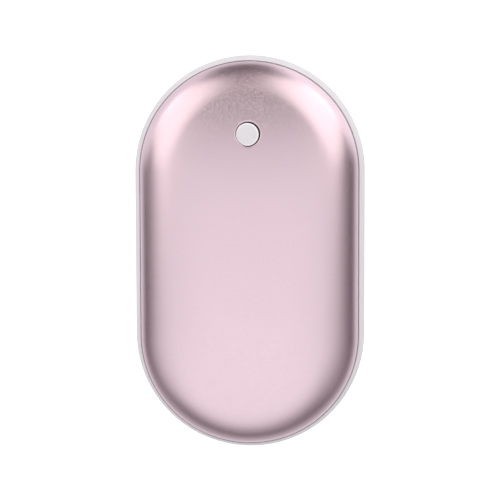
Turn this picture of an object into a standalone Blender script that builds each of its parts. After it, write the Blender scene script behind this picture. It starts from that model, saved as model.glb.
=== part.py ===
"""Rechargeable pocket hand warmer, modelled as the pieces it is assembled from.

The body is a pebble: two drawn aluminium shells on a moulded plastic mid-frame, with two round
lithium cells in a cradle between them and a heating film under each shell.
X runs across, Y runs along it (push button at +Y, sockets at -Y) and Z is up. It lies on the back
shell, and the origin is on the surface it lies on, under the middle of the body.
Heights in the code are measured from the mid-plane, which is half a thickness above the origin.
"""
import math

import bmesh
import bpy
from mathutils import Vector

MM = 0.001
FRONT, BACK = 1, -1

# Whole body
WIDTH = 58.0 * MM
LENGTH = 99.2 * MM
THICKNESS = 26.0 * MM
FIT_GAP = 0.3 * MM
OVERLAP = 0.2 * MM
OVERRUN = 1.0 * MM

# Mid-frame: the plastic band, and the tongues that stand inside the shells' rims
BAND_HEIGHT = 11.5 * MM
BAND_BULGE = 1.4 * MM
REBATE_DEPTH = 0.5 * MM
RIM_CLEARANCE = 0.6 * MM
TONGUE_WALL = 0.7 * MM
TONGUE_HEIGHT = 0.9 * MM

# Aluminium shells
SHELL_WALL = 0.8 * MM
SHOULDER_WIDTH = 9.5 * MM
SHOULDER_POWER = 2.4
CROWN_ACROSS = 0.5 * MM
CROWN_ALONG = 1.2 * MM
CROWN_POWER = 4
REST_FLAT_DEPTH = 0.25 * MM

# Push button and the small board under it
BUTTON_FROM_END = 19.8 * MM
BUTTON_DIAMETER = 5.6 * MM
BUTTON_CLEARANCE = 0.25 * MM
BUTTON_HOLE_CHAMFER = 0.25 * MM
BUTTON_RECESS = 0.1 * MM
BUTTON_PLAY = 0.1 * MM
BUTTON_EDGE = 0.2 * MM
BUTTON_TRAVEL = 0.3 * MM
FLANGE_WIDTH = 0.95 * MM
FLANGE_THICKNESS = 0.6 * MM
NUB_DIAMETER = 2.4 * MM
NUB_HEIGHT = 0.35 * MM
SWITCH_SIDE = 6.0 * MM
SWITCH_HEIGHT = 1.0 * MM
SWITCH_FLOOR = 0.2 * MM
PLUNGER_DIAMETER = 3.0 * MM
PLUNGER_PROUD = 0.6 * MM
BUTTON_BOARD_WIDTH = 7.0 * MM
BUTTON_BOARD_LENGTH = 15.0 * MM
BUTTON_BOARD_THICKNESS = 0.8 * MM
BUTTON_SCREW_SPACING = 10.4 * MM
BUTTON_BOSS_DIAMETER = 3.8 * MM
LED_SIZE = (0.8 * MM, 1.6 * MM, 0.6 * MM)
LED_SPACING = 5.2 * MM
LED_FROM_BUTTON = 4.2 * MM

# Liners: plastic frames bonded inside the shells, hooked to the mid-frame
LINER_WALL = 0.8 * MM
LINER_RIM_INSET = 0.8 * MM
WINDOW_SIDE_MARGIN = 9.8 * MM
WINDOW_END_MARGIN = 6.8 * MM
BUTTON_PLATE_MARGIN = 7.9 * MM
HOOK_WIDTH = 5.0 * MM
HOOK_WALL = 1.0 * MM
HOOK_INSET = 10.6 * MM
HOOK_DEPTH = 2.25 * MM
BARB_REACH = 0.5 * MM
BARB_HEIGHT = 0.8 * MM

# Heating films, foam pads and temperature sensors
FILM_THICKNESS = 0.25 * MM
FILM_EDGE = 0.5 * MM
PAD_EDGE = 3.0 * MM
SENSOR_SIZE = (1.4 * MM, 3.0 * MM, 0.7 * MM)

# Cells, their cradle and their nickel strips. The cells fill what these spaces leave them.
BOARD_SPACE = 16.8 * MM
TOP_SPACE = 15.8 * MM
SIDE_SPACE = 5.25 * MM
PAD_THICKNESS = 1.9 * MM
CELL_SPACING_GAP = 0.9 * MM
CELL_EDGE = 0.5 * MM
CELL_GROOVE_DEPTH = 0.35 * MM
CELL_GROOVE_HALF_WIDTH = 0.5 * MM
CELL_GROOVE_FROM_TOP = 2.5 * MM
CELL_CAP_DIAMETER = 5.6 * MM
CELL_CAP_HEIGHT = 0.9 * MM
CRADLE_WALL = 0.9 * MM
CRADLE_FLOOR = 0.6 * MM
CRADLE_END_WALL = 1.0 * MM
CRADLE_END_HEIGHT = 2.5 * MM
CRADLE_SIDE_DEPTH = 2.0 * MM
CRADLE_CORNER_MOST = 7.5 * MM
EAR_THICKNESS = 1.4 * MM
EAR_WIDTH = 4.4 * MM
EAR_INSET = 3.6 * MM
TAB_THICKNESS = 0.2 * MM
TAB_WIDTH = 26.0 * MM
TAB_HALF_HEIGHT = 2.2 * MM
TONGUE_TAB_WIDTH = 3.0 * MM
TONGUE_TAB_HEIGHT = 2.4 * MM

# Screws
SCREW_DIAMETER = 1.8 * MM
SCREW_HEAD_DIAMETER = 3.4 * MM
SCREW_HEAD_HEIGHT = 1.0 * MM
SCREW_LENGTH = 4.6 * MM
SMALL_SCREW_DIAMETER = 1.2 * MM
SMALL_SCREW_HEAD_DIAMETER = 2.6 * MM
SMALL_SCREW_HEAD_HEIGHT = 0.8 * MM
SMALL_SCREW_LENGTH = 3.2 * MM
HEAD_TOP_SHARE = 0.7

# Power board and what is on it
BOARD_THICKNESS = 1.0 * MM
BOARD_EDGE_CLEARANCE = 0.6 * MM
BOARD_SCREW_INSET = 2.1 * MM
BOARD_SCREW_BACK = 2.1 * MM
BOARD_BOSS_HALF = 1.9 * MM
USB_A_SIZE = (13.2 * MM, 10.3 * MM, 5.7 * MM)
USB_A_WALL = 0.4 * MM
USB_A_X = -5.2 * MM
USB_A_TONGUE = (11.1 * MM, 8.2 * MM, 1.84 * MM)
CHARGING_SIZE = (8.94 * MM, 7.3 * MM, 3.26 * MM)
CHARGING_WALL = 0.3 * MM
CHARGING_X = 8.0 * MM
CHARGING_TONGUE = (6.6 * MM, 4.6 * MM, 0.7 * MM)
SOCKET_BASE = 1.4 * MM
SOCKET_RECESS = 0.7 * MM
INDUCTOR_SIZE = (4.2 * MM, 3.8 * MM, 2.6 * MM)
CHIP_SIZE = (5.0 * MM, 4.0 * MM, 1.1 * MM)
CHIP_SPACING = 9.0 * MM
CAPACITOR_SIZE = (2.8 * MM, 1.4 * MM, 1.4 * MM)
CAPACITOR_SPACING = 3.8 * MM
PART_BEVEL = 0.25 * MM

# Inner wires
BATTERY_LEAD_DIAMETER = 1.2 * MM
BUTTON_LEAD_DIAMETER = 1.2 * MM
HEATER_LEAD_DIAMETER = 1.0 * MM
LEAD_SPACING = 1.75 * MM
LEAD_BEND = 2.2 * MM
LEAD_RUN = 3.0 * MM

# Fineness of the curved faces
ARC_STEPS = 9
STRAIGHT_STEPS = 4
SHOULDER_STEPS = 6
BAND_STEPS = 8
ROUND_STEPS = 24
FINE_ROUND_STEPS = 32
SCREW_STEPS = 16
HOLE_STEPS = 12
SADDLE_STEPS = 12
CORNER_STEPS = 4
BOARD_STEPS = 16
SLOT_STEPS = 3
BEND_STEPS = 4
FACE_RING_SHARES = (0.3, 0.6, 0.9)
LINER_RING_SHARES = (0.0, 0.08, 0.2, 0.45, 1.0)
FILM_RING_SHARES = (0.15, 0.6, 1.0)

# What follows from the sizes above
MID_Z = THICKNESS / 2
HALF_STRAIGHT = (LENGTH - WIDTH) / 2
SHELL_HALF_WIDTH = WIDTH / 2 - BAND_BULGE - FIT_GAP
SHELL_SEAM = BAND_HEIGHT / 2 - REBATE_DEPTH
FACE_HALF_WIDTH = SHELL_HALF_WIDTH - SHOULDER_WIDTH
FACE_HALF_LENGTH = FACE_HALF_WIDTH + HALF_STRAIGHT
DOME_RISE = {FRONT: MID_Z - SHELL_SEAM, BACK: MID_Z - SHELL_SEAM + REST_FLAT_DEPTH}
TONGUE_OUTSIDE = SHELL_HALF_WIDTH - SHELL_WALL - RIM_CLEARANCE
TONGUE_INSIDE = TONGUE_OUTSIDE - TONGUE_WALL
TONGUE_TOP = BAND_HEIGHT / 2 + TONGUE_HEIGHT
LINER_DEPTH = SHELL_WALL + FIT_GAP
FILM_DEPTH = SHELL_WALL + FIT_GAP
PAD_DEPTH = FILM_DEPTH + FILM_THICKNESS + FIT_GAP
BUTTON_Y = LENGTH / 2 - BUTTON_FROM_END
WINDOW_LOW = -LENGTH / 2 + SHELL_WALL + BAND_BULGE + WINDOW_END_MARGIN
WINDOW_HIGH = {FRONT: BUTTON_Y - BUTTON_PLATE_MARGIN, BACK: -WINDOW_LOW}
WINDOW_HALF_WIDTH = SHELL_HALF_WIDTH - WINDOW_SIDE_MARGIN
HOOK_Y = HALF_STRAIGHT - HOOK_INSET
EAR_Y = HALF_STRAIGHT - EAR_INSET

# The largest round cell that fits both across and in height: 18.3 mm, and 65 mm long
CELL_DIAMETER = min(TONGUE_INSIDE - SIDE_SPACE - CRADLE_WALL - FIT_GAP - CELL_SPACING_GAP / 2,
                    2 * (MID_Z - PAD_DEPTH - PAD_THICKNESS - FIT_GAP))
CAVITY_LOW = BOARD_SPACE - LENGTH / 2
CAVITY_HIGH = LENGTH / 2 - TOP_SPACE
CELL_LENGTH = CAVITY_HIGH - CAVITY_LOW - 2 * (TAB_THICKNESS + 2 * FIT_GAP)
CELL_OFFSET = (CAVITY_LOW + CAVITY_HIGH) / 2
CELL_X = (CELL_DIAMETER + CELL_SPACING_GAP) / 2
SADDLE_RADIUS = CELL_DIAMETER / 2 + FIT_GAP
CRADLE_HALF_WIDTH = CELL_X + SADDLE_RADIUS + CRADLE_WALL
CRADLE_BOTTOM = -SADDLE_RADIUS - CRADLE_FLOOR
CRADLE_CORNER = min(CRADLE_CORNER_MOST, -CRADLE_BOTTOM - CRADLE_SIDE_DEPTH - OVERLAP)
BOARD_TOP = -USB_A_SIZE[2] / 2 - FIT_GAP
BOARD_BOTTOM = BOARD_TOP - BOARD_THICKNESS
BOARD_EDGE_Y = CAVITY_LOW - CRADLE_END_WALL - FIT_GAP


def finish(name, colour, roughness, metallic=0.0):
    """A material of one colour, made once and then shared."""
    material = bpy.data.materials.get(name)
    if material is None:
        material = bpy.data.materials.new(name)
        material.use_nodes = True
        shader = material.node_tree.nodes["Principled BSDF"]
        shader.inputs["Base Color"].default_value = (*colour, 1.0)
        shader.inputs["Roughness"].default_value = roughness
        shader.inputs["Metallic"].default_value = metallic
    return material


def rose_aluminium():
    return finish("rose_aluminium", (0.78, 0.56, 0.60), 0.35, 1.0)


def band_plastic():
    return finish("band_plastic", (0.70, 0.69, 0.71), 0.4)


def dark_plastic():
    return finish("dark_plastic", (0.03, 0.03, 0.035), 0.5)


def green_board():
    return finish("green_board", (0.02, 0.16, 0.06), 0.4)


def plated_steel():
    return finish("plated_steel", (0.62, 0.62, 0.60), 0.3, 1.0)


def chip_black():
    return finish("chip_black", (0.02, 0.02, 0.02), 0.45)


def add_object(name, shape, material, location=(0, 0, 0), sharp_degrees=35):
    """Turn a finished bmesh into a named object, shaded smooth but for its sharp edges."""
    bmesh.ops.recalc_face_normals(shape, faces=shape.faces)
    mesh = bpy.data.meshes.new(name)
    shape.to_mesh(mesh)
    shape.free()
    mesh.shade_smooth()
    mesh.set_sharp_from_angle(angle=math.radians(sharp_degrees))
    mesh.materials.append(material)
    part = bpy.data.objects.new(name, mesh)
    part.location = location
    bpy.context.collection.objects.link(part)
    return part


def skin(name, rings, material, closed=False, location=(0, 0, 0)):
    """Skin rings of equal point counts. Open rows are capped by strips across the ring."""
    shape = bmesh.new()
    rows = [[shape.verts.new(point) for point in ring] for ring in rings]
    count = len(rows[0])
    following = rows[1:] + rows[:1] if closed else rows[1:]
    for low, high in zip(rows, following):
        for here in range(count):
            after = (here + 1) % count
            shape.faces.new((low[here], low[after], high[after], high[here]))
    if not closed:
        for row in (rows[0], rows[-1]):
            half = count // 2
            shape.faces.new((row[0], row[1], row[-1]))
            for step in range(1, half - 1):
                shape.faces.new((row[step], row[step + 1], row[-step - 1], row[-step]))
            shape.faces.new((row[half - 1], row[half], row[half + 1]))
    return add_object(name, shape, material, location)


def prism(name, outline_points, low, high, material, axis="Z", location=(0, 0, 0)):
    """Extrude an outline from low to high along an axis."""
    place = {
        "X": lambda a, b, level: (level, a, b),
        "Y": lambda a, b, level: (a, level, b),
        "Z": lambda a, b, level: (a, b, level),
    }[axis]
    shape = bmesh.new()
    rows = [[shape.verts.new(place(a, b, level)) for a, b in outline_points] for level in (low, high)]
    count = len(outline_points)
    for here in range(count):
        after = (here + 1) % count
        shape.faces.new((rows[0][here], rows[0][after], rows[1][after], rows[1][here]))
    for row in rows:
        shape.faces.new(row)
    return add_object(name, shape, material, location)


def turned(name, profile, material, location=(0, 0, 0), steps=ROUND_STEPS):
    """Turn a profile of (radius, height) points, first and last on the axis, about Z."""
    shape = bmesh.new()
    angles = [2 * math.pi * step / steps for step in range(steps)]
    rows = []
    for radius, height in profile[1:-1]:
        rows.append([shape.verts.new((radius * math.cos(a), radius * math.sin(a), height)) for a in angles])
    ends = [shape.verts.new((0, 0, profile[0][1])), shape.verts.new((0, 0, profile[-1][1]))]
    for step in range(steps):
        after = (step + 1) % steps
        for low, high in zip(rows, rows[1:]):
            shape.faces.new((low[step], low[after], high[after], high[step]))
        for row, end in zip((rows[0], rows[-1]), ends):
            shape.faces.new((row[step], row[after], end))
    return add_object(name, shape, material, location)


def block(name, low, high, material, bevel=0):
    """A box between two corners, with its edges bevelled where a width is given."""
    points = [(low[0], low[1]), (high[0], low[1]), (high[0], high[1]), (low[0], high[1])]
    part = prism(name, points, low[2], high[2], material, location=(0, 0, MID_Z))
    if bevel:
        rounding = part.modifiers.new("rounding", "BEVEL")
        rounding.width = bevel
        rounding.segments = 1
    return part


def drill(part, name, place, radius, low, high, material):
    """Cut a round hole down Z through a part, between two heights."""
    profile = [(0, low), (radius, low), (radius, high), (0, high)]
    return combine(part, turned(name, profile, material, (*place, MID_Z), HOLE_STEPS), "DIFFERENCE")


def combine(part, tool, operation):
    """Cut a tool out of a part, or join it on, and keep the tool out of the model."""
    step = part.modifiers.new(tool.name, "BOOLEAN")
    step.operation = operation
    step.solver = "EXACT"
    step.object = tool
    tool.hide_render = True
    tool.display_type = "WIRE"
    return part


def outline(half_width, half_straight, centre_y=0.0):
    """A stadium: the right half from bottom to top, then the left half back down."""
    right = []
    for step in range(ARC_STEPS + 1):
        angle = math.pi / 2 * (step / ARC_STEPS - 1)
        right.append((half_width * math.cos(angle), half_width * math.sin(angle) - half_straight))
    for step in range(1, STRAIGHT_STEPS):
        right.append((half_width, half_straight * (2 * step / STRAIGHT_STEPS - 1)))
    for step in range(ARC_STEPS + 1):
        angle = math.pi / 2 * step / ARC_STEPS
        right.append((half_width * math.cos(angle), half_width * math.sin(angle) + half_straight))
    left = [(-x, y) for x, y in reversed(right[1:-1])]
    return [(x, y + centre_y) for x, y in right + left]


def crown_fall(share):
    """Fall of the crown, in crowns: flat at the middle, one at the face's edge, and straight on from there."""
    share = abs(share)
    return share ** CROWN_POWER if share < 1 else 1 + CROWN_POWER * (share - 1)


def dome_height(x, y, depth, side):
    """Height over the mid-plane of the surface that lies a depth under a shell's outer face."""
    inset = SHELL_HALF_WIDTH - depth - math.hypot(x, max(abs(y) - HALF_STRAIGHT, 0.0))
    share = min(max(inset / (SHOULDER_WIDTH - depth), 0.0), 1.0)
    rise = DOME_RISE[side] - depth
    rise -= CROWN_ACROSS * crown_fall(x / FACE_HALF_WIDTH)
    rise -= CROWN_ALONG * crown_fall(y / FACE_HALF_LENGTH)
    return SHELL_SEAM + rise * math.sqrt(1.0 - (1.0 - share) ** SHOULDER_POWER)


def dome_ring(points, depth, side):
    """Lift plan points onto the dome at a depth; the outer back face is cut flat to lie on."""
    ring = []
    for x, y in points:
        height = dome_height(x, y, depth, side)
        if depth == 0:
            height = min(height, MID_Z)
        ring.append((x, y, side * height))
    return ring


def dome_rings(depth, side):
    """Rings over one face of a shell, from its rim to the middle."""
    half_width = SHELL_HALF_WIDTH - depth
    shoulder = SHOULDER_WIDTH - depth
    turns = [math.pi / 2 * step / SHOULDER_STEPS for step in range(SHOULDER_STEPS + 1)]
    insets = [shoulder * (1 - math.cos(turn)) for turn in turns]
    insets += [shoulder + (half_width - shoulder) * share for share in FACE_RING_SHARES]
    return [dome_ring(outline(half_width - inset, HALF_STRAIGHT), depth, side) for inset in insets]


def shell(name, side):
    """A drawn aluminium shell of even wall."""
    rings = dome_rings(0, side)[::-1] + dome_rings(SHELL_WALL, side)
    return skin(name, rings, rose_aluminium(), location=(0, 0, MID_Z))


def button_hole_tool():
    """The cutter of the button's hole, with its chamfer."""
    radius = BUTTON_DIAMETER / 2 + BUTTON_CLEARANCE
    top = dome_height(0, BUTTON_Y, 0, FRONT)
    low = top - SHELL_WALL - OVERRUN
    wide = radius + BUTTON_HOLE_CHAMFER + OVERRUN
    profile = [(0, low), (radius, low), (radius, top - BUTTON_HOLE_CHAMFER), (wide, top + OVERRUN)]
    profile.append((0, top + OVERRUN))
    return turned("button_hole_tool", profile, rose_aluminium(), (0, BUTTON_Y, MID_Z))


def band_section():
    """Half-width and height of each point round the mid-frame's section."""
    half = BAND_HEIGHT / 2
    radius = (half ** 2 + BAND_BULGE ** 2) / (2 * BAND_BULGE)
    reach = math.asin(half / radius)
    section = []
    for step in range(BAND_STEPS + 1):
        angle = reach * (2 * step / BAND_STEPS - 1)
        section.append((WIDTH / 2 - radius * (1 - math.cos(angle)), radius * math.sin(angle)))
    lip = WIDTH / 2 - BAND_BULGE
    floor = SHELL_SEAM - FIT_GAP
    section += [(lip, floor), (TONGUE_OUTSIDE, floor), (TONGUE_OUTSIDE, TONGUE_TOP)]
    section += [(TONGUE_INSIDE, TONGUE_TOP), (TONGUE_INSIDE, -TONGUE_TOP)]
    section += [(TONGUE_OUTSIDE, -TONGUE_TOP), (TONGUE_OUTSIDE, -floor), (lip, -floor)]
    return section


def board_boss_outline(place):
    """Plan outline of a boss for the power board, from beside its screw out into the band's wall."""
    x, y = place
    side = math.copysign(1, x)
    inner_x = x - side * BOARD_BOSS_HALF
    points = [(inner_x, y - BOARD_BOSS_HALF), (inner_x, y + BOARD_BOSS_HALF)]
    for level in (y + BOARD_BOSS_HALF, y - BOARD_BOSS_HALF):
        reach = (TONGUE_INSIDE + OVERLAP) ** 2 - (level + HALF_STRAIGHT) ** 2
        points.append((side * math.sqrt(reach), level))
    return points


def hook_tip():
    return SHELL_SEAM - HOOK_DEPTH


def mid_frame():
    """The plastic band with its screw bosses, hook catches and socket openings."""
    rings = []
    for half_width, height in band_section():
        rings.append([(x, y, height) for x, y in outline(half_width, HALF_STRAIGHT)])
    frame = skin("mid_frame", rings, band_plastic(), closed=True, location=(0, 0, MID_Z))

    boss_inside = CRADLE_HALF_WIDTH + 2 * FIT_GAP
    for side in (-1, 1):
        for end in (-1, 1):
            across = sorted((side * boss_inside, side * (TONGUE_INSIDE + OVERLAP)))
            middle = end * EAR_Y
            low = (across[0], middle - EAR_WIDTH / 2, -TONGUE_TOP)
            high = (across[1], middle + EAR_WIDTH / 2, ear_bottom() - FIT_GAP)
            boss = block(f"frame_boss_{side}_{end}", low, high, band_plastic())
            combine(frame, boss, "UNION")
    for place in board_screw_places():
        board_boss = prism(f"board_boss_{place[0]:.4f}", board_boss_outline(place), -TONGUE_TOP,
                           BOARD_BOTTOM - FIT_GAP, band_plastic(), location=(0, 0, MID_Z))
        combine(frame, board_boss, "UNION")

    for x, y in ear_places() + board_screw_places():
        drill(frame, f"screw_hole_{x:.4f}_{y:.4f}", (x, y), SCREW_DIAMETER / 2 + FIT_GAP,
              -TONGUE_TOP - OVERRUN, ear_bottom() + FIT_GAP, band_plastic())

    for side in (-1, 1):
        for end in (-1, 1):
            for face in (FRONT, BACK):
                catch_depth = TONGUE_INSIDE + BARB_REACH + FIT_GAP
                across = sorted((side * (TONGUE_INSIDE - OVERRUN), side * catch_depth))
                top = hook_tip() + BARB_HEIGHT + FIT_GAP
                upright = sorted((face * (hook_tip() - FIT_GAP), face * top))
                middle = end * HOOK_Y
                reach = HOOK_WIDTH / 2 + FIT_GAP
                low = (across[0], middle - reach, upright[0])
                high = (across[1], middle + reach, upright[1])
                catch = block(f"catch_{side}_{end}_{face}", low, high, band_plastic())
                combine(frame, catch, "DIFFERENCE")

    end_y = -LENGTH / 2 - OVERRUN
    inner_y = -HALF_STRAIGHT - FACE_HALF_WIDTH
    width, _, height = USB_A_SIZE
    low = (USB_A_X - width / 2 - FIT_GAP, end_y, -height / 2 - FIT_GAP)
    high = (USB_A_X + width / 2 + FIT_GAP, inner_y, height / 2 + FIT_GAP)
    combine(frame, block("usb_a_opening", low, high, band_plastic()), "DIFFERENCE")
    opening = prism("charging_opening", slot_points(FIT_GAP), end_y, inner_y, band_plastic(), "Y",
                    (0, 0, MID_Z))
    combine(frame, opening, "DIFFERENCE")
    return frame


def ear_bottom():
    return -CRADLE_SIDE_DEPTH - EAR_THICKNESS


def ear_places():
    """Plan places of the four screws that hold the cradle."""
    across = (CRADLE_HALF_WIDTH + TONGUE_INSIDE) / 2
    return [(side * across, end * EAR_Y) for side in (-1, 1) for end in (-1, 1)]


def board_screw_places():
    """Plan places of the power board's two screws, in the corners behind the sockets."""
    y = BOARD_EDGE_Y - BOARD_SCREW_BACK
    x = math.sqrt((TONGUE_INSIDE - BOARD_SCREW_INSET) ** 2 - (y + HALF_STRAIGHT) ** 2)
    return [(-x, y), (x, y)]


def window(side):
    """Centre and half straight of a liner's window and of the film that lies in it."""
    centre = (WINDOW_LOW + WINDOW_HIGH[side]) / 2
    return centre, (WINDOW_HIGH[side] - WINDOW_LOW) / 2 - WINDOW_HALF_WIDTH


def liner(name, side):
    """A frame that follows the inside of a shell round a window, with four snap hooks."""
    centre, straight = window(side)
    edge = outline(WINDOW_HALF_WIDTH, straight, centre)
    rim = SHELL_HALF_WIDTH - LINER_DEPTH - LINER_RIM_INSET
    rings = []
    outer = outline(rim, HALF_STRAIGHT)
    inner = outline(rim - LINER_WALL, HALF_STRAIGHT)
    for share in LINER_RING_SHARES:
        points = [(a + (c - a) * share, b + (d - b) * share) for (a, b), (c, d) in zip(outer, edge)]
        rings.append(dome_ring(points, LINER_DEPTH, side))
    for share in reversed(LINER_RING_SHARES):
        points = [(a + (c - a) * share, b + (d - b) * share) for (a, b), (c, d) in zip(inner, edge)]
        rings.append(dome_ring(points, LINER_DEPTH + LINER_WALL, side))
    part = skin(name, rings, dark_plastic(), closed=True, location=(0, 0, MID_Z))

    hook_outside = TONGUE_INSIDE - FIT_GAP
    hook_inside = hook_outside - HOOK_WALL
    hook_middle = hook_outside - HOOK_WALL / 2
    for end in (-1, 1):
        middle = end * HOOK_Y
        top = dome_height(hook_middle, middle, LINER_DEPTH + LINER_WALL / 2, side)
        tip = hook_tip()
        section = [(hook_inside, tip), (TONGUE_INSIDE + BARB_REACH, tip)]
        section += [(TONGUE_INSIDE + BARB_REACH, tip + BARB_HEIGHT), (hook_outside, tip + BARB_HEIGHT)]
        section += [(hook_outside, top), (hook_inside, top)]
        for across in (-1, 1):
            hook = prism(f"{name}_hook_{end}_{across}", [(across * x, side * z) for x, z in section],
                         middle - HOOK_WIDTH / 2, middle + HOOK_WIDTH / 2, dark_plastic(), "Y",
                         (0, 0, MID_Z))
            combine(part, hook, "UNION")
    return part


def front_liner():
    """The front liner also guides the button's flange and carries the button board."""
    part = liner("front_liner", FRONT)
    radius = BUTTON_DIAMETER / 2 + FLANGE_WIDTH + FIT_GAP
    top = dome_height(0, BUTTON_Y, 0, FRONT)
    profile = [(0, 0), (radius, 0), (radius, top), (0, top)]
    stack = button_stack()
    for end in (-1, 1):
        middle = BUTTON_Y + end * BUTTON_SCREW_SPACING / 2
        root = dome_height(0, middle, LINER_DEPTH + LINER_WALL / 2, FRONT)
        boss_radius = BUTTON_BOSS_DIAMETER / 2
        low = stack["board_top"] + FIT_GAP
        boss = [(0, low), (boss_radius, low), (boss_radius, root), (0, root)]
        tool = turned(f"button_boss_{end}", boss, dark_plastic(), (0, middle, MID_Z), SCREW_STEPS)
        combine(part, tool, "UNION")
        drill(part, f"button_boss_hole_{end}", (0, middle), SMALL_SCREW_DIAMETER / 2 + FIT_GAP,
              low - OVERRUN, stack["board_bottom"] + SMALL_SCREW_LENGTH, dark_plastic())
    guide = turned("flange_guide", profile, dark_plastic(), (0, BUTTON_Y, MID_Z))
    return combine(part, guide, "DIFFERENCE")


def button_stack():
    """Heights over the mid-plane down through the button, its switch and their board."""
    stack = {"cap_top": dome_height(0, BUTTON_Y, 0, FRONT) - BUTTON_RECESS}
    stack["flange_top"] = dome_height(0, BUTTON_Y, SHELL_WALL, FRONT) - FIT_GAP
    stack["flange_bottom"] = stack["flange_top"] - FLANGE_THICKNESS
    stack["nub_bottom"] = stack["flange_bottom"] - NUB_HEIGHT
    stack["plunger_top"] = stack["nub_bottom"] - FIT_GAP
    stack["switch_top"] = stack["plunger_top"] - PLUNGER_PROUD
    stack["switch_bottom"] = stack["switch_top"] - SWITCH_HEIGHT
    stack["board_top"] = stack["switch_bottom"] - FIT_GAP
    stack["board_bottom"] = stack["board_top"] - BUTTON_BOARD_THICKNESS
    return stack


def button_cap():
    stack = button_stack()
    radius = BUTTON_DIAMETER / 2
    flange = radius + FLANGE_WIDTH
    profile = [(0, stack["nub_bottom"]), (NUB_DIAMETER / 2, stack["nub_bottom"])]
    profile += [(NUB_DIAMETER / 2, stack["flange_bottom"]), (flange, stack["flange_bottom"])]
    profile += [(flange, stack["flange_top"]), (radius, stack["flange_top"])]
    profile += [(radius, stack["cap_top"] - BUTTON_EDGE), (radius - BUTTON_EDGE, stack["cap_top"])]
    profile.append((0, stack["cap_top"]))
    place = (-BUTTON_PLAY, BUTTON_Y - BUTTON_PLAY, MID_Z)
    return turned("button_cap", profile, band_plastic(), place, FINE_ROUND_STEPS)


def switch():
    """The push switch: its square body with a well, and the plunger that the cap presses."""
    stack = button_stack()
    half = SWITCH_SIDE / 2
    body = block("switch_body", (-half, BUTTON_Y - half, stack["switch_bottom"]),
                 (half, BUTTON_Y + half, stack["switch_top"]), plated_steel())
    well = PLUNGER_DIAMETER / 2 + FIT_GAP
    floor = stack["switch_bottom"] + SWITCH_FLOOR
    mouth = stack["switch_top"] + OVERRUN
    profile = [(0, floor), (well, floor), (well, mouth), (0, mouth)]
    combine(body, turned("plunger_well", profile, plated_steel(), (0, BUTTON_Y, MID_Z)), "DIFFERENCE")

    radius = PLUNGER_DIAMETER / 2
    low = floor + BUTTON_TRAVEL + OVERLAP
    profile = [(0, low), (radius, low), (radius, stack["plunger_top"]), (0, stack["plunger_top"])]
    turned("switch_plunger", profile, dark_plastic(), (0, BUTTON_Y, MID_Z))


def button_board():
    """The small board with the switch, its two lamps and its two screws."""
    stack = button_stack()
    low = (-BUTTON_BOARD_WIDTH / 2, BUTTON_Y - BUTTON_BOARD_LENGTH / 2, stack["board_bottom"])
    high = (BUTTON_BOARD_WIDTH / 2, BUTTON_Y + BUTTON_BOARD_LENGTH / 2, stack["board_top"])
    board = block("button_board", low, high, green_board())
    for number, end in enumerate((-1, 1), 1):
        y = BUTTON_Y + end * BUTTON_SCREW_SPACING / 2
        drill(board, f"board_hole_{end}", (0, y), SMALL_SCREW_DIAMETER / 2 + FIT_GAP,
              stack["board_bottom"] - OVERRUN, stack["board_top"] + OVERRUN, green_board())
        seat = stack["board_bottom"] - FIT_GAP
        screw(f"button_board_screw_{number}", (0, y), seat, seat + SMALL_SCREW_LENGTH,
              SMALL_SCREW_DIAMETER, SMALL_SCREW_HEAD_DIAMETER, SMALL_SCREW_HEAD_HEIGHT)
    for name, across in (("heat_led", -1), ("charge_led", 1)):
        middle = (across * LED_SPACING / 2, BUTTON_Y + LED_FROM_BUTTON)
        base = stack["board_top"] + FIT_GAP
        low = (middle[0] - LED_SIZE[0] / 2, middle[1] - LED_SIZE[1] / 2, base)
        high = (middle[0] + LED_SIZE[0] / 2, middle[1] + LED_SIZE[1] / 2, base + LED_SIZE[2])
        block(name, low, high, finish("led_lens", (0.9, 0.85, 0.6), 0.3))


def screw(name, place, seat, tip, diameter, head_diameter, head_height):
    """A pan-head screw whose head seats at one height and whose tip is at another."""
    outward = 1 if seat > tip else -1
    radius, head = diameter / 2, head_diameter / 2
    crown = seat + outward * head_height
    profile = [(0, tip), (radius, tip), (radius, seat), (head, seat)]
    profile += [(head, seat + outward * head_height / 2), (head * HEAD_TOP_SHARE, crown), (0, crown)]
    return turned(name, profile, plated_steel(), (*place, MID_Z), SCREW_STEPS)


def disc(name, side, margin, top_depth, low_heights, material):
    """A thin piece under a shell: its outer face follows the dome, its edge keeps a margin."""
    centre, straight = window(side)
    half_width = WINDOW_HALF_WIDTH - margin
    outer, inner = [], []
    for share in FILM_RING_SHARES:
        points = outline(half_width * share, straight, centre)
        outer.append(dome_ring(points, top_depth, side))
        inner.append([(x, y, side * low_heights(x, y)) for x, y in points])
    return skin(name, outer + inner[::-1], material, location=(0, 0, MID_Z))


def heater_film(name, side):
    depth = FILM_DEPTH + FILM_THICKNESS
    amber = finish("amber_film", (0.55, 0.25, 0.05), 0.35)
    return disc(name, side, FILM_EDGE, FILM_DEPTH, lambda x, y: dome_height(x, y, depth, side), amber)


def foam_pad(name, side):
    """Foam between a film and the cells, flat on the side of the cells."""
    flat = SADDLE_RADIUS if side == FRONT else -CRADLE_BOTTOM + FIT_GAP
    foam = finish("white_foam", (0.75, 0.75, 0.72), 0.9)
    return disc(name, side, PAD_EDGE, PAD_DEPTH, lambda x, y: flat, foam)


def thermistor(name, side):
    """A sensor on the inner face of a film, beside the foam pad."""
    x = WINDOW_HALF_WIDTH - (FILM_EDGE + PAD_EDGE) / 2
    y = window(side)[0]
    top = dome_height(x, y, PAD_DEPTH, side)
    heights = sorted((side * top, side * (top - SENSOR_SIZE[2])))
    low = (x - SENSOR_SIZE[0] / 2, y - SENSOR_SIZE[1] / 2, heights[0])
    high = (x + SENSOR_SIZE[0] / 2, y + SENSOR_SIZE[1] / 2, heights[1])
    return block(name, low, high, chip_black())


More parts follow.
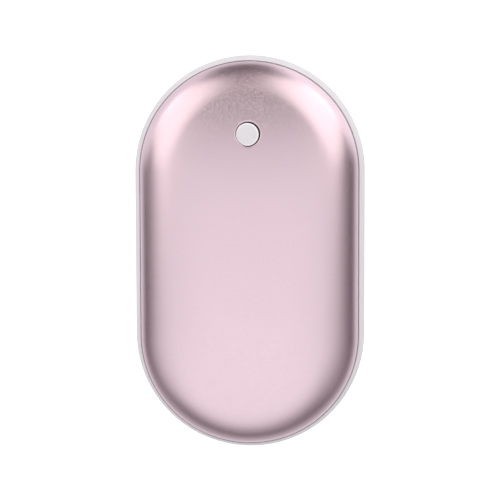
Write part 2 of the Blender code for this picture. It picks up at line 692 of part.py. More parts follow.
def cell(name, side):
    """A round lithium cell lying along Y, with its crimped groove and its positive end at -Y."""
    radius = CELL_DIAMETER / 2
    can = CELL_LENGTH - CELL_CAP_HEIGHT
    groove = can - CELL_GROOVE_FROM_TOP
    profile = [(0, 0), (radius - CELL_EDGE, 0), (radius, CELL_EDGE)]
    profile.append((radius, groove - CELL_GROOVE_HALF_WIDTH))
    profile += [(radius - CELL_GROOVE_DEPTH, groove), (radius, groove + CELL_GROOVE_HALF_WIDTH)]
    profile += [(radius, can - CELL_EDGE), (radius - CELL_EDGE, can), (CELL_CAP_DIAMETER / 2, can)]
    profile += [(CELL_CAP_DIAMETER / 2, CELL_LENGTH), (0, CELL_LENGTH)]
    wrap = finish("cell_wrap", (0.05, 0.25, 0.55), 0.35)
    place = (side * CELL_X, CELL_OFFSET + CELL_LENGTH / 2, MID_Z)
    part = turned(name, profile, wrap, place, FINE_ROUND_STEPS)
    part.rotation_euler = (math.pi / 2, 0, 0)
    return part


def cradle_outline(top):
    """The cradle's outer section, open at the top, from the right side round to the left."""
    points = [(CRADLE_HALF_WIDTH, top)]
    turns = list(range(CORNER_STEPS + 1))
    for side, ordered in ((1, turns), (-1, turns[::-1])):
        for turn in ordered:
            angle = math.pi / 2 * turn / CORNER_STEPS
            x = CRADLE_HALF_WIDTH - CRADLE_CORNER * (1 - math.cos(angle))
            points.append((side * x, CRADLE_BOTTOM + CRADLE_CORNER * (1 - math.sin(angle))))
    points.append((-CRADLE_HALF_WIDTH, top))
    return points


def cell_cradle():
    """The moulded tray: two saddles for the cells, end walls, and four ears for its screws."""
    top = -CRADLE_SIDE_DEPTH
    section = cradle_outline(top)
    start = math.asin(CRADLE_SIDE_DEPTH / SADDLE_RADIUS)
    for side in (-1, 1):
        for step in range(SADDLE_STEPS + 1):
            angle = math.pi + start + (math.pi - 2 * start) * step / SADDLE_STEPS
            x = side * CELL_X + SADDLE_RADIUS * math.cos(angle)
            section.append((x, SADDLE_RADIUS * math.sin(angle)))
    material = dark_plastic()
    part = prism("cell_cradle", section, CAVITY_LOW - OVERLAP, CAVITY_HIGH + OVERLAP, material, "Y",
                 (0, 0, MID_Z))
    for name, inner, outer in (("low", CAVITY_LOW, CAVITY_LOW - CRADLE_END_WALL),
                               ("high", CAVITY_HIGH, CAVITY_HIGH + CRADLE_END_WALL)):
        wall = prism(f"cradle_wall_{name}", cradle_outline(CRADLE_END_HEIGHT), *sorted((inner, outer)),
                     material, "Y", (0, 0, MID_Z))
        combine(part, wall, "UNION")
    for x, y in ear_places():
        across = sorted((math.copysign(CRADLE_HALF_WIDTH - OVERLAP, x),
                         math.copysign(TONGUE_INSIDE - 2 * FIT_GAP, x)))
        low = (across[0], y - EAR_WIDTH / 2, ear_bottom())
        high = (across[1], y + EAR_WIDTH / 2, top)
        combine(part, block(f"ear_{x:.4f}_{y:.4f}", low, high, material), "UNION")
        drill(part, f"ear_hole_{x:.4f}_{y:.4f}", (x, y), SCREW_DIAMETER / 2 + FIT_GAP,
              ear_bottom() - OVERLAP, top + OVERLAP, material)
    return part


def cell_tab(name, end, tongue_x):
    """A nickel strip across both cells' ends, with a tongue that stands up to take its lead."""
    inner = end * (CELL_LENGTH / 2 + FIT_GAP) + CELL_OFFSET
    faces = sorted((inner, inner + end * TAB_THICKNESS))
    half = TAB_WIDTH / 2
    top = TAB_HALF_HEIGHT + TONGUE_TAB_HEIGHT
    bottom = FIT_GAP - CRADLE_SIDE_DEPTH
    section = [(-half, bottom), (half, bottom), (half, TAB_HALF_HEIGHT)]
    section += [(tongue_x + TONGUE_TAB_WIDTH / 2, TAB_HALF_HEIGHT), (tongue_x + TONGUE_TAB_WIDTH / 2, top)]
    section += [(tongue_x - TONGUE_TAB_WIDTH / 2, top), (tongue_x - TONGUE_TAB_WIDTH / 2, TAB_HALF_HEIGHT)]
    section.append((-half, TAB_HALF_HEIGHT))
    return prism(name, section, faces[0], faces[1], plated_steel(), "Y", (0, 0, MID_Z))


def main_board():
    """The power board: a round front edge that follows the mid-frame, and a straight back edge."""
    radius = TONGUE_INSIDE - BOARD_EDGE_CLEARANCE
    start = math.asin((BOARD_EDGE_Y + HALF_STRAIGHT) / radius)
    points = []
    for step in range(BOARD_STEPS + 1):
        angle = start - (math.pi + 2 * start) * step / BOARD_STEPS
        points.append((radius * math.cos(angle), radius * math.sin(angle) - HALF_STRAIGHT))
    board = prism("main_board", points, BOARD_BOTTOM, BOARD_TOP, green_board(), location=(0, 0, MID_Z))
    for number, place in enumerate(board_screw_places(), 1):
        drill(board, f"main_board_hole_{number}", place, SCREW_DIAMETER / 2 + FIT_GAP,
              BOARD_BOTTOM - OVERRUN, BOARD_TOP + OVERRUN, green_board())
    return board


def screws():
    """The screws of the cradle and of the power board."""
    for number, place in enumerate(ear_places(), 1):
        seat = -CRADLE_SIDE_DEPTH + FIT_GAP
        screw(f"chassis_screw_{number}", place, seat, seat - SCREW_LENGTH, SCREW_DIAMETER,
              SCREW_HEAD_DIAMETER, SCREW_HEAD_HEIGHT)
    for number, place in enumerate(board_screw_places(), 1):
        seat = BOARD_TOP + FIT_GAP
        tip = -TONGUE_TOP + FIT_GAP
        screw(f"board_screw_{number}", place, seat, tip, SCREW_DIAMETER,
              SCREW_HEAD_DIAMETER, SCREW_HEAD_HEIGHT)


def mouth_y(centre_x, width):
    """Where a socket's mouth lies, a little inside the band's outer face at its far edge."""
    edge = abs(centre_x) + width / 2
    return -HALF_STRAIGHT - math.sqrt((WIDTH / 2) ** 2 - edge ** 2) + SOCKET_RECESS


def slot_points(grow):
    """Section of the charging socket, a flat slot with round ends, grown or shrunk by a margin."""
    half_height = CHARGING_SIZE[2] / 2
    half_straight = CHARGING_SIZE[0] / 2 - half_height
    return [(CHARGING_X + b, a) for a, b in slot_outline(half_height + grow, half_straight)]


def slot_outline(half_height, half_straight):
    """A coarse stadium whose straight sides run along its second coordinate."""
    right = []
    for end in (-1, 1):
        for step in range(SLOT_STEPS + 1):
            angle = math.pi / 2 * (step / SLOT_STEPS - (1 if end < 0 else 0))
            along = half_height * math.sin(angle) + end * half_straight
            right.append((half_height * math.cos(angle), along))
    return right + [(-a, b) for a, b in reversed(right[1:-1])]


def rectangle(centre_x, width, height):
    return [(centre_x - width / 2, -height / 2), (centre_x + width / 2, -height / 2),
            (centre_x + width / 2, height / 2), (centre_x - width / 2, height / 2)]


def socket_shell(name, outer, inner, mouth, length, wall):
    """A folded steel can, open at its mouth and closed at its back."""
    back = mouth + length
    rings = []
    for points, y in ((outer, back), (outer, mouth), (inner, mouth), (inner, back - wall)):
        rings.append([(x, y, z) for x, z in points])
    return skin(name, rings, plated_steel(), location=(0, 0, MID_Z))


def socket_tongue(name, centre_x, base, tongue, back, height_offset):
    """A moulded base against the can's back, with the contact tongue standing from it."""
    base_width, base_height = base
    tongue_width, tongue_length, tongue_thickness = tongue
    front = back - SOCKET_BASE
    low = height_offset - tongue_thickness / 2
    high = height_offset + tongue_thickness / 2
    section = [(back, -base_height / 2), (back, base_height / 2), (front, base_height / 2), (front, high)]
    section += [(front - tongue_length, high), (front - tongue_length, low), (front, low)]
    section.append((front, -base_height / 2))
    width = min(base_width, tongue_width)
    return prism(name, section, centre_x - width / 2, centre_x + width / 2, dark_plastic(), "X",
                 (0, 0, MID_Z))


def sockets():
    """The output socket and the charging socket, mouths inside the band's openings."""
    width, length, height = USB_A_SIZE
    mouth = mouth_y(USB_A_X, width)
    inside = (width - 2 * USB_A_WALL, height - 2 * USB_A_WALL)
    socket_shell("usb_a_shell", rectangle(USB_A_X, width, height), rectangle(USB_A_X, *inside),
                 mouth, length, USB_A_WALL)
    base = (inside[0] - 2 * FIT_GAP, inside[1] - 2 * FIT_GAP)
    back = mouth + length - USB_A_WALL - FIT_GAP
    socket_tongue("usb_a_tongue", USB_A_X, base, USB_A_TONGUE, back, inside[1] / 2 - USB_A_TONGUE[2])

    width, length, height = CHARGING_SIZE
    mouth = mouth_y(CHARGING_X, width)
    socket_shell("charging_socket_shell", slot_points(0), slot_points(-CHARGING_WALL), mouth, length,
                 CHARGING_WALL)
    margin = 2 * (CHARGING_WALL + FIT_GAP)
    back = mouth + length - CHARGING_WALL - FIT_GAP
    socket_tongue("charging_socket_tongue", CHARGING_X, (width - margin - height / 2, height - margin),
                  CHARGING_TONGUE, back, 0)


def on_board(name, x, y, size, face, material):
    """A part on the power board's top or underside, centred on a plan place."""
    base = BOARD_TOP + FIT_GAP if face == FRONT else BOARD_BOTTOM - FIT_GAP - size[2]
    low = (x - size[0] / 2, y - size[1] / 2, base)
    high = (x + size[0] / 2, y + size[1] / 2, base + size[2])
    return block(name, low, high, material, PART_BEVEL)


def board_parts():
    """The inductor, the two controllers and the two capacitors."""
    behind_charging = mouth_y(CHARGING_X, CHARGING_SIZE[0]) + CHARGING_SIZE[1]
    middle = (behind_charging + BOARD_EDGE_Y) / 2
    ferrite = finish("ferrite", (0.08, 0.08, 0.085), 0.6)
    on_board("inductor", CHARGING_X, middle, INDUCTOR_SIZE, FRONT, ferrite)
    chips_y = BOARD_EDGE_Y - CHIP_SIZE[1]
    on_board("boost_chip", -CHIP_SPACING / 2, chips_y, CHIP_SIZE, BACK, chip_black())
    on_board("charge_chip", CHIP_SPACING / 2, chips_y, CHIP_SIZE, BACK, chip_black())
    tan = finish("capacitor_tan", (0.45, 0.32, 0.18), 0.5)
    behind_usb = mouth_y(USB_A_X, USB_A_SIZE[0]) + USB_A_SIZE[1]
    last = USB_A_X - USB_A_SIZE[0] / 2 + CAPACITOR_SIZE[0] / 2
    for number in (1, 2):
        x = last + (2 - number) * CAPACITOR_SPACING
        on_board(f"capacitor_{number}", x, (behind_usb + BOARD_EDGE_Y) / 2, CAPACITOR_SIZE, FRONT, tan)


def smooth_route(points):
    """The route with each corner rounded by a curve that starts and ends a bend before and after it."""
    route = [Vector(point) for point in points]
    curve = [route[0]]
    for before, corner, after in zip(route, route[1:], route[2:]):
        arriving, leaving = before - corner, after - corner
        cut_in = min(LEAD_BEND, arriving.length / 2)
        cut_out = min(LEAD_BEND, leaving.length / 2)
        first = corner + arriving.normalized() * cut_in
        last = corner + leaving.normalized() * cut_out
        for step in range(BEND_STEPS + 1):
            t = step / BEND_STEPS
            curve.append(first * (1 - t) ** 2 + corner * 2 * t * (1 - t) + last * t ** 2)
    return curve + [route[-1]]


def lead(name, route, diameter, colour):
    """A round insulated wire along a route whose heights are over the mid-plane."""
    points = smooth_route(route)
    curve = bpy.data.curves.new(name, "CURVE")
    curve.dimensions = "3D"
    curve.bevel_depth = diameter / 2
    curve.bevel_resolution = 1
    curve.use_fill_caps = True
    spline = curve.splines.new("POLY")
    spline.points.add(len(points) - 1)
    for target, (x, y, z) in zip(spline.points, points):
        target.co = (x, y, z, 1.0)
    curve.materials.append(finish(f"{name}_jacket", colour, 0.45))
    wire = bpy.data.objects.new(name, curve)
    wire.location = (0, 0, MID_Z)
    bpy.context.collection.objects.link(wire)
    return wire


def leads():
    """The wires, each from its seat to the top or the underside of the power board."""
    landing = BOARD_TOP + FIT_GAP
    usb_back = mouth_y(USB_A_X, USB_A_SIZE[0]) + USB_A_SIZE[1]
    drop_y = (usb_back + CAVITY_LOW - CRADLE_END_WALL) / 2
    half = BATTERY_LEAD_DIAMETER / 2
    over_wall = CRADLE_END_HEIGHT + FIT_GAP + half
    strip_y = CELL_LENGTH / 2 + FIT_GAP
    lift = over_wall + OVERLAP

    plus_x = USB_A_X / 2
    start = CELL_OFFSET - strip_y - TAB_THICKNESS - FIT_GAP
    route = [(plus_x, start, lift), (plus_x, drop_y, lift), (plus_x, drop_y, landing)]
    lead("battery_lead_plus", route, BATTERY_LEAD_DIAMETER, (0.5, 0.02, 0.02))

    start = CELL_OFFSET + strip_y - FIT_GAP
    route = [(0, start, lift), (0, drop_y, lift), (0, drop_y, landing)]
    lead("battery_lead_minus", route, BATTERY_LEAD_DIAMETER, (0.02, 0.02, 0.02))

    stack = button_stack()
    board_end = BUTTON_Y - BUTTON_BOARD_LENGTH / 2
    centre = (stack["board_top"] + stack["board_bottom"]) / 2
    bed = lift + BATTERY_LEAD_DIAMETER / 2 + BUTTON_LEAD_DIAMETER / 2 + 2 * FIT_GAP
    route = [(0, board_end - FIT_GAP, centre), (0, board_end - LEAD_RUN, centre)]
    route += [(0, board_end - 2 * LEAD_RUN, bed), (0, CAVITY_LOW + LEAD_RUN, bed)]
    route += [(LEAD_SPACING, drop_y, bed), (LEAD_SPACING, drop_y, landing)]
    lead("button_lead", route, BUTTON_LEAD_DIAMETER, (0.6, 0.6, 0.6))

    for name, side, x in (("front_heater_lead", FRONT, 2 * LEAD_SPACING), ("back_heater_lead", BACK, 0)):
        film_end = WINDOW_LOW + FILM_EDGE
        y = film_end + HEATER_LEAD_DIAMETER
        top = side * dome_height(x, y, PAD_DEPTH, side)
        end = landing if side == FRONT else BOARD_BOTTOM - FIT_GAP
        foot_y = drop_y if side == FRONT else y
        step = side * HEATER_LEAD_DIAMETER
        route = [(x, y, top), (x, y, top - step), (x, foot_y, end + step), (x, foot_y, end)]
        lead(name, route, HEATER_LEAD_DIAMETER, (0.75, 0.6, 0.1))


def build():
    combine(shell("front_shell", FRONT), button_hole_tool(), "DIFFERENCE")
    shell("back_shell", BACK)
    mid_frame()
    front_liner()
    liner("back_liner", BACK)
    for name, side in (("front", FRONT), ("back", BACK)):
        heater_film(f"{name}_heater_film", side)
        foam_pad(f"{name}_foam_pad", side)
        thermistor(f"{name}_thermistor", side)
    button_cap()
    switch()
    button_board()
    cell_cradle()
    cell("battery_cell_left", -1)
    cell("battery_cell_right", 1)
    cell_tab("cell_tab_plus", -1, USB_A_X / 2)
    cell_tab("cell_tab_minus", 1, 0)
    main_board()
    screws()
    sockets()
    board_parts()
    leads()


for startup_object in list(bpy.data.objects):
    bpy.data.objects.remove(startup_object)
build()
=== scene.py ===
"""Looks of a rechargeable pocket hand warmer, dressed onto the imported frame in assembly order.

X runs across it, Y along it with the push button towards +Y and the sockets at -Y, and Z is up.
It lies on its back shell on the surface Z = 0. Every length is in metres.
"""
import math

import bmesh
import bpy
from mathutils import Matrix, Vector


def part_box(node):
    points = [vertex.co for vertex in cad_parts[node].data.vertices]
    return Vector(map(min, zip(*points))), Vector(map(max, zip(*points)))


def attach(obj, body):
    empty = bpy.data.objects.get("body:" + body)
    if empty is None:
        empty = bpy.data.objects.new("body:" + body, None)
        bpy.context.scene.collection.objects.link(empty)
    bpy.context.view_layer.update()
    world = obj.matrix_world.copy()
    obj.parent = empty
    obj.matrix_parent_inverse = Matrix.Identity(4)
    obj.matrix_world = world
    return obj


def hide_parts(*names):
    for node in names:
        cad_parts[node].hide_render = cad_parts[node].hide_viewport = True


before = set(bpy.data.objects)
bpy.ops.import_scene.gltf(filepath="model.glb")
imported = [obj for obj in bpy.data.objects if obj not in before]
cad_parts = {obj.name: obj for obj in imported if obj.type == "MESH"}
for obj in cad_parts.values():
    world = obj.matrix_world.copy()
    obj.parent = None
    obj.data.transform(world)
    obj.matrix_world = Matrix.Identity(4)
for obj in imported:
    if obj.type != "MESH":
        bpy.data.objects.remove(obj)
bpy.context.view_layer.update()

MM = 0.001


# The two round lithium cells. Each is a nickel-plated steel can in a plain blue PVC sleeve that
# is shrunk on, so the sleeve is slightly wavy and leaves the crimped ends bare.
SLEEVE_BLUE = (0.03, 0.16, 0.42, 1.0)
SLEEVE_PALE = (0.05, 0.22, 0.52, 1.0)
CAN_NICKEL = (0.62, 0.61, 0.58, 1.0)
SLEEVE_LIP = 1.6 * MM
SLEEVE_RIPPLE = 2.5 * MM
SLEEVE_RELIEF = 0.05 * MM
SLEEVE_ROUGHNESS = (0.26, 0.16)


class Socket:
    """An output in a node tree. Sums and products of sockets add their Math nodes to the tree."""

    def __init__(self, tree, end=None):
        self.tree = tree
        self.end = end

    def node(self, kind, settings, inputs, output=0):
        """Add a node: its settings first, then the value or link of each of its sockets."""
        made = self.tree.nodes.new("ShaderNode" + kind)
        for name, value in settings.items():
            setattr(made, name, value)
        for name, value in inputs.items():
            if isinstance(value, Socket):
                self.tree.links.new(value.end, made.inputs[name])
            else:
                made.inputs[name].default_value = value
        return Socket(self.tree, made.outputs[output]) if made.outputs else None

    def math(self, operation, first, second=0.0):
        return self.node("Math", {"operation": operation}, {0: first, 1: second})

    def __add__(self, other):
        return self.math("ADD", self, other)

    def __radd__(self, other):
        return self.math("ADD", other, self)

    def __sub__(self, other):
        return self.math("SUBTRACT", self, other)

    def __rsub__(self, other):
        return self.math("SUBTRACT", other, self)

    def __mul__(self, other):
        return self.math("MULTIPLY", self, other)

    def __rmul__(self, other):
        return self.math("MULTIPLY", other, self)

    def __truediv__(self, other):
        return self.math("DIVIDE", self, other)

    def __rtruediv__(self, other):
        return self.math("DIVIDE", other, self)

    def __gt__(self, other):
        return self.math("GREATER_THAN", self, other)

    def __lt__(self, other):
        return self.math("LESS_THAN", self, other)

    def __abs__(self):
        return self.math("ABSOLUTE", self)

    def at_least(self, least):
        return self.math("MAXIMUM", self, least)

    def hypotenuse(self, other):
        """The length of the step that goes this far one way and the other at right angles."""
        return self.math("SQRT", self * self + other * other)

    def vary(self, base, spread):
        """A level that rises by the spread as the value goes from 0 to 1."""
        return base + self * spread

    def ease(self, low, high, at_low=0.0, at_high=1.0):
        """Carry the value smoothly from one range to another, and hold it at the ends."""
        settings = {"interpolation_type": "SMOOTHSTEP"}
        return self.node("MapRange", settings, {0: self, 1: low, 2: high, 3: at_low, 4: at_high})

    def tint(self, first, second):
        """The first colour where the value is 0, and the second where it is 1."""
        settings = {"data_type": "RGBA"}
        return self.node("Mix", settings, {0: self, 6: first, 7: second}, 2)


class Finish:
    """A surface finish: its even values sit on the shader, and its varied ones are linked."""

    def __init__(self, name, values):
        self.material = bpy.data.materials.new(name)
        self.material.use_nodes = True
        tree = self.material.node_tree
        self.shader = tree.nodes["Principled BSDF"]
        for socket, value in values.items():
            self.shader.inputs[socket].default_value = value
        self.place = Socket(tree).node("TexCoord", {}, {}, "Object")

    def along(self, axis):
        """The place along X, Y or Z, in metres."""
        return self.place.node("SeparateXYZ", {}, {0: self.place}, axis)

    def pattern(self, kind, size, settings, inputs, output):
        """A texture at a scale of one to this size."""
        inputs = {"Vector": self.place, "Scale": 1 / size, **inputs}
        return self.place.node(kind, settings, inputs, output)

    def noise(self, size, detail=2.0):
        """Soft random values whose patches are about this size across."""
        return self.pattern("TexNoise", size, {}, {"Detail": detail}, 0)

    def feed(self, socket, value):
        value.tree.links.new(value.end, self.shader.inputs[socket])

    def relief(self, height, depth):
        """Raise the surface by a height signal times a depth."""
        self.feed("Normal", height.node("Bump", {}, {"Distance": depth, "Height": height}))


def dress(finish, *names):
    """Give carried-over parts of the frame a finish."""
    for name in names:
        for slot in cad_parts[name].material_slots:
            slot.material = finish.material


cell_finish = Finish("cell_sleeve_and_can", {"IOR": 1.52})
cell_low, cell_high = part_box("battery_cell_left")
along_cell = cell_finish.along("Y")
bare = (along_cell < cell_low.y + SLEEVE_LIP) + (along_cell > cell_high.y - SLEEVE_LIP)
ripple = cell_finish.noise(SLEEVE_RIPPLE, detail=3.0)
cell_finish.feed("Base Color", bare.tint(ripple.tint(SLEEVE_BLUE, SLEEVE_PALE), CAN_NICKEL))
cell_finish.feed("Metallic", bare)
cell_finish.feed("Roughness", ripple.vary(*SLEEVE_ROUGHNESS))
cell_finish.relief(ripple, SLEEVE_RELIEF)
dress(cell_finish, "battery_cell_left", "battery_cell_right")


# The cradle and the liners are moulded in black glass-filled nylon with a fine spark-eroded
# texture. The cradle takes the cells in two saddles and is screwed to the mid-frame by four ears.
NYLON_BLACK = (0.018, 0.018, 0.02, 1.0)
NYLON_GREY = (0.035, 0.035, 0.038, 1.0)
NYLON_PATCH = 3 * MM
FIBRE = 0.35 * MM
FIBRE_RELIEF = 0.03 * MM
NYLON_ROUGHNESS = (0.42, 0.22)

nylon = Finish("moulded_black_nylon", {"IOR": 1.5})
fibre = nylon.noise(FIBRE, detail=4.0)
nylon.feed("Base Color", nylon.noise(NYLON_PATCH).tint(NYLON_BLACK, NYLON_GREY))
nylon.feed("Roughness", fibre.vary(*NYLON_ROUGHNESS))
nylon.relief(fibre, FIBRE_RELIEF)
dress(nylon, "cell_cradle", "front_liner", "back_liner", "switch_plunger")


# Nickel strips, spot-welded to the cells, the switch's can and every screw: pressed or turned
# metal with a plating that shows the faint scratches of handling.
NICKEL = (0.60, 0.58, 0.53, 1.0)
NICKEL_WORN = (0.74, 0.73, 0.70, 1.0)
SCUFF = 0.8 * MM
SCUFF_RELIEF = 0.02 * MM
PLATE_GRAIN = 0.25 * MM
PLATE_ROUGHNESS = (0.22, 0.25)

plated = Finish("nickel_plate", {"Metallic": 1.0})
scuff = plated.noise(SCUFF, detail=5.0)
plated.feed("Base Color", scuff.tint(NICKEL, NICKEL_WORN))
plated.feed("Roughness", plated.noise(PLATE_GRAIN, detail=3.0).vary(*PLATE_ROUGHNESS))
plated.relief(scuff, SCUFF_RELIEF)
dress(plated, "cell_tab_plus", "cell_tab_minus", "switch_body", "board_screw_1", "board_screw_2")
dress(plated, "chassis_screw_1", "chassis_screw_2", "chassis_screw_3", "chassis_screw_4")
dress(plated, "button_board_screw_1", "button_board_screw_2")


# The power board and the button's board: glass-epoxy laminate under green solder mask, in which
# the copper tracks show as slightly raised, lighter lines.
MASK_GREEN = (0.012, 0.12, 0.045, 1.0)
TRACK_GREEN = (0.03, 0.22, 0.08, 1.0)
TRACK_SWEEP = 7.8 * MM
TRACK_EDGE = (0.62, 0.7)
TRACK_RELIEF = 0.035 * MM
MASK_RIPPLE = 0.5 * MM
MASK_ROUGHNESS = (0.32, 0.14)

laminate = Finish("solder_masked_laminate", {"Coat Roughness": 0.2, "IOR": 1.5})
track = laminate.pattern("TexWave", TRACK_SWEEP, {"bands_direction": "DIAGONAL"},
                         {"Distortion": 2.5, "Detail": 1.0}, "Fac").ease(*TRACK_EDGE)
laminate.feed("Base Color", track.tint(MASK_GREEN, TRACK_GREEN))
laminate.feed("Roughness", laminate.noise(MASK_RIPPLE).vary(*MASK_ROUGHNESS))
laminate.relief(track, TRACK_RELIEF)
dress(laminate, "main_board", "button_board")


# Parts soldered to the boards: epoxy-moulded controllers and sensors with a matt top, a ferrite
# inductor, two ceramic capacitors with tinned ends, and the two lamps that shine through the cap.
EPOXY_COLOURS = ((0.02, 0.02, 0.022, 1.0), (0.05, 0.05, 0.052, 1.0))
EPOXY_GRAIN = (0.12 * MM, 3.0)
EPOXY_ROUGHNESS = (0.5, 0.2)
EPOXY_RELIEF = 0.01 * MM
FERRITE_COLOURS = ((0.055, 0.056, 0.06, 1.0), (0.11, 0.11, 0.115, 1.0))
FERRITE_GRAIN = (0.2 * MM, 4.0)
FERRITE_ROUGHNESS = (0.5, 0.25)
FERRITE_RELIEF = 0.03 * MM
CERAMIC = (0.38, 0.25, 0.13, 1.0)
CERAMIC_PALE = (0.47, 0.33, 0.19, 1.0)
CERAMIC_PATCH = 0.3 * MM
CERAMIC_GRAIN = 0.15 * MM
CERAMIC_ROUGHNESS = (0.35, 0.2)
CAPACITOR_END = 0.5 * MM
LENS = (0.85, 0.80, 0.62, 1.0)
LENS_PHOSPHOR = (0.86, 0.66, 0.18, 1.0)
LENS_HAZE = 0.2 * MM
LENS_ROUGHNESS = (0.22, 0.12)
PHOSPHOR_EDGE = (0.55 * MM, 0.45 * MM)


def grained(name, values, grain, colours, roughness, relief=None):
    """A finish whose colour, roughness and relief all follow one grain of a size and detail."""
    finish = Finish(name, values)
    marks = finish.noise(*grain)
    finish.feed("Base Color", marks.tint(*colours))
    finish.feed("Roughness", marks.vary(*roughness))
    if relief:
        finish.relief(marks, relief)
    return finish


epoxy = grained("epoxy_moulding", {}, EPOXY_GRAIN, EPOXY_COLOURS, EPOXY_ROUGHNESS, EPOXY_RELIEF)
dress(epoxy, "boost_chip", "charge_chip", "front_thermistor", "back_thermistor")

ferrite = grained("pressed_ferrite", {}, FERRITE_GRAIN, FERRITE_COLOURS, FERRITE_ROUGHNESS,
                  FERRITE_RELIEF)
dress(ferrite, "inductor")

for capacitor in ("capacitor_1", "capacitor_2"):
    low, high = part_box(capacitor)
    ceramic = Finish(capacitor + "_ceramic", {})
    from_left = ceramic.along("X")
    tinned = (from_left < low.x + CAPACITOR_END) + (from_left > high.x - CAPACITOR_END)
    clay = ceramic.noise(CERAMIC_PATCH).tint(CERAMIC, CERAMIC_PALE)
    ceramic.feed("Base Color", tinned.tint(clay, CAN_NICKEL))
    ceramic.feed("Metallic", tinned)
    ceramic.feed("Roughness", ceramic.noise(CERAMIC_GRAIN).vary(*CERAMIC_ROUGHNESS))
    dress(ceramic, capacitor)

for lamp in ("heat_led", "charge_led"):
    low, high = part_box(lamp)
    lens = Finish(lamp + "_lens", {"IOR": 1.5})
    off_middle = abs(lens.along("Y") - (low.y + high.y) / 2)
    phosphor = off_middle.ease(*PHOSPHOR_EDGE)
    lens.feed("Base Color", phosphor.tint(LENS, LENS_PHOSPHOR))
    lens.feed("Roughness", lens.noise(LENS_HAZE).vary(*LENS_ROUGHNESS))
    dress(lens, lamp)


# The wires: stranded copper in silicone jackets, which are satin and slightly uneven. Red and
# black go to the strips, grey to the button's board, and yellow to the heating films.
JACKETS = {
    "battery_lead_plus": (0.42, 0.015, 0.012, 1.0),
    "battery_lead_minus": (0.015, 0.015, 0.016, 1.0),
    "button_lead": (0.45, 0.45, 0.46, 1.0),
    "front_heater_lead": (0.62, 0.42, 0.04, 1.0),
    "back_heater_lead": (0.62, 0.42, 0.04, 1.0),
}
JACKET_LIGHTEN = 1.25
STRAND_GRAIN = (0.4 * MM, 2.0)
STRAND_RELIEF = 0.03 * MM
JACKET_ROUGHNESS = (0.4, 0.2)

for name, colour in JACKETS.items():
    paler = (*(channel * JACKET_LIGHTEN for channel in colour[:3]), 1.0)
    dress(grained(name + "_silicone", {"IOR": 1.42}, STRAND_GRAIN, (colour, paler),
                  JACKET_ROUGHNESS, STRAND_RELIEF), name)


# The heating films: etched foil between two amber polyimide sheets, so a winding metal track
# shows through. The foam pads behind them are closed-cell and matt, and keep them on the shells.
POLYIMIDE = (0.50, 0.22, 0.035, 1.0)
FOIL_THROUGH = (0.30, 0.16, 0.06, 1.0)
FOIL_SWEEP = 19.2 * MM
FOIL_EDGE = (0.35, 0.5)
FOIL_RELIEF = 0.02 * MM
SHEET_RIPPLE = 4 * MM
POLYIMIDE_ROUGHNESS = (0.28, 0.12)
FOAM = (0.74, 0.74, 0.71, 1.0)
FOAM_PORE = (0.52, 0.52, 0.50, 1.0)
FOAM_CELL = 0.5 * MM
FOAM_CELL_EDGE = (0.0, 0.6)
FOAM_RELIEF = 0.12 * MM
FOAM_PATCH = 1 * MM
FOAM_ROUGHNESS = (0.82, 0.1)

polyimide = Finish("polyimide_heater", {"Coat Weight": 0.3, "Coat Roughness": 0.15})
foil = polyimide.pattern("TexWave", FOIL_SWEEP, {"bands_direction": "Y"},
                         {"Distortion": 0.4, "Detail": 0.0}, "Fac").ease(*FOIL_EDGE)
polyimide.feed("Base Color", foil.tint(POLYIMIDE, FOIL_THROUGH))
polyimide.feed("Roughness", polyimide.noise(SHEET_RIPPLE).vary(*POLYIMIDE_ROUGHNESS))
polyimide.relief(foil, FOIL_RELIEF)
dress(polyimide, "front_heater_film", "back_heater_film")

foam = Finish("closed_cell_foam", {})
cells = foam.pattern("TexVoronoi", FOAM_CELL, {"feature": "F1"}, {}, "Distance")
foam.feed("Base Color", cells.ease(*FOAM_CELL_EDGE).tint(FOAM_PORE, FOAM))
foam.feed("Roughness", foam.noise(FOAM_PATCH).vary(*FOAM_ROUGHNESS))
foam.relief(cells, FOAM_RELIEF)
dress(foam, "front_foam_pad", "back_foam_pad")


# The mid-frame: one injection moulding in pale grey-white ABS. Its bulged band shows all round
# between the shells, which drop into a rebate on each side, and its tongues stand inside them.
WIDTH = 58.0 * MM
LENGTH = 99.2 * MM
MID_HEIGHT = 13.0 * MM
BAND_HEIGHT = 11.5 * MM
BAND_BULGE = 1.4 * MM
LIP_ROUND = 0.1 * MM
SEAM_GAP = 0.3 * MM
SEAM_SHOWN = 0.08 * MM
REBATE_DEPTH = 0.5 * MM
SHELL_WALL = 0.8 * MM
RIM_CLEARANCE = 0.6 * MM
TONGUE_WALL = 0.7 * MM
TONGUE_RISE = 0.9 * MM
END_STEPS = 84
SIDE_STEPS = 14
BULGE_STEPS = 28
LIP_STEPS = 4
SHARP_EDGE = math.radians(34)
ABS_PALE = (0.745, 0.716, 0.758, 1.0)
ABS_DEEP = (0.705, 0.677, 0.718, 1.0)
ABS_PATCH = 6 * MM
SPARK_GRAIN = 0.16 * MM
SPARK_RELIEF = 0.008 * MM
ABS_ROUGHNESS = (0.4, 0.14)

HALF_STRAIGHT = (LENGTH - WIDTH) / 2
SEAM_HEIGHT = BAND_HEIGHT / 2 - REBATE_DEPTH
SHELL_HALF_WIDTH = WIDTH / 2 - BAND_BULGE - SEAM_GAP
TONGUE_OUTSIDE = SHELL_HALF_WIDTH - SHELL_WALL - RIM_CLEARANCE
TONGUE_INSIDE = TONGUE_OUTSIDE - TONGUE_WALL
TONGUE_TOP = BAND_HEIGHT / 2 + TONGUE_RISE


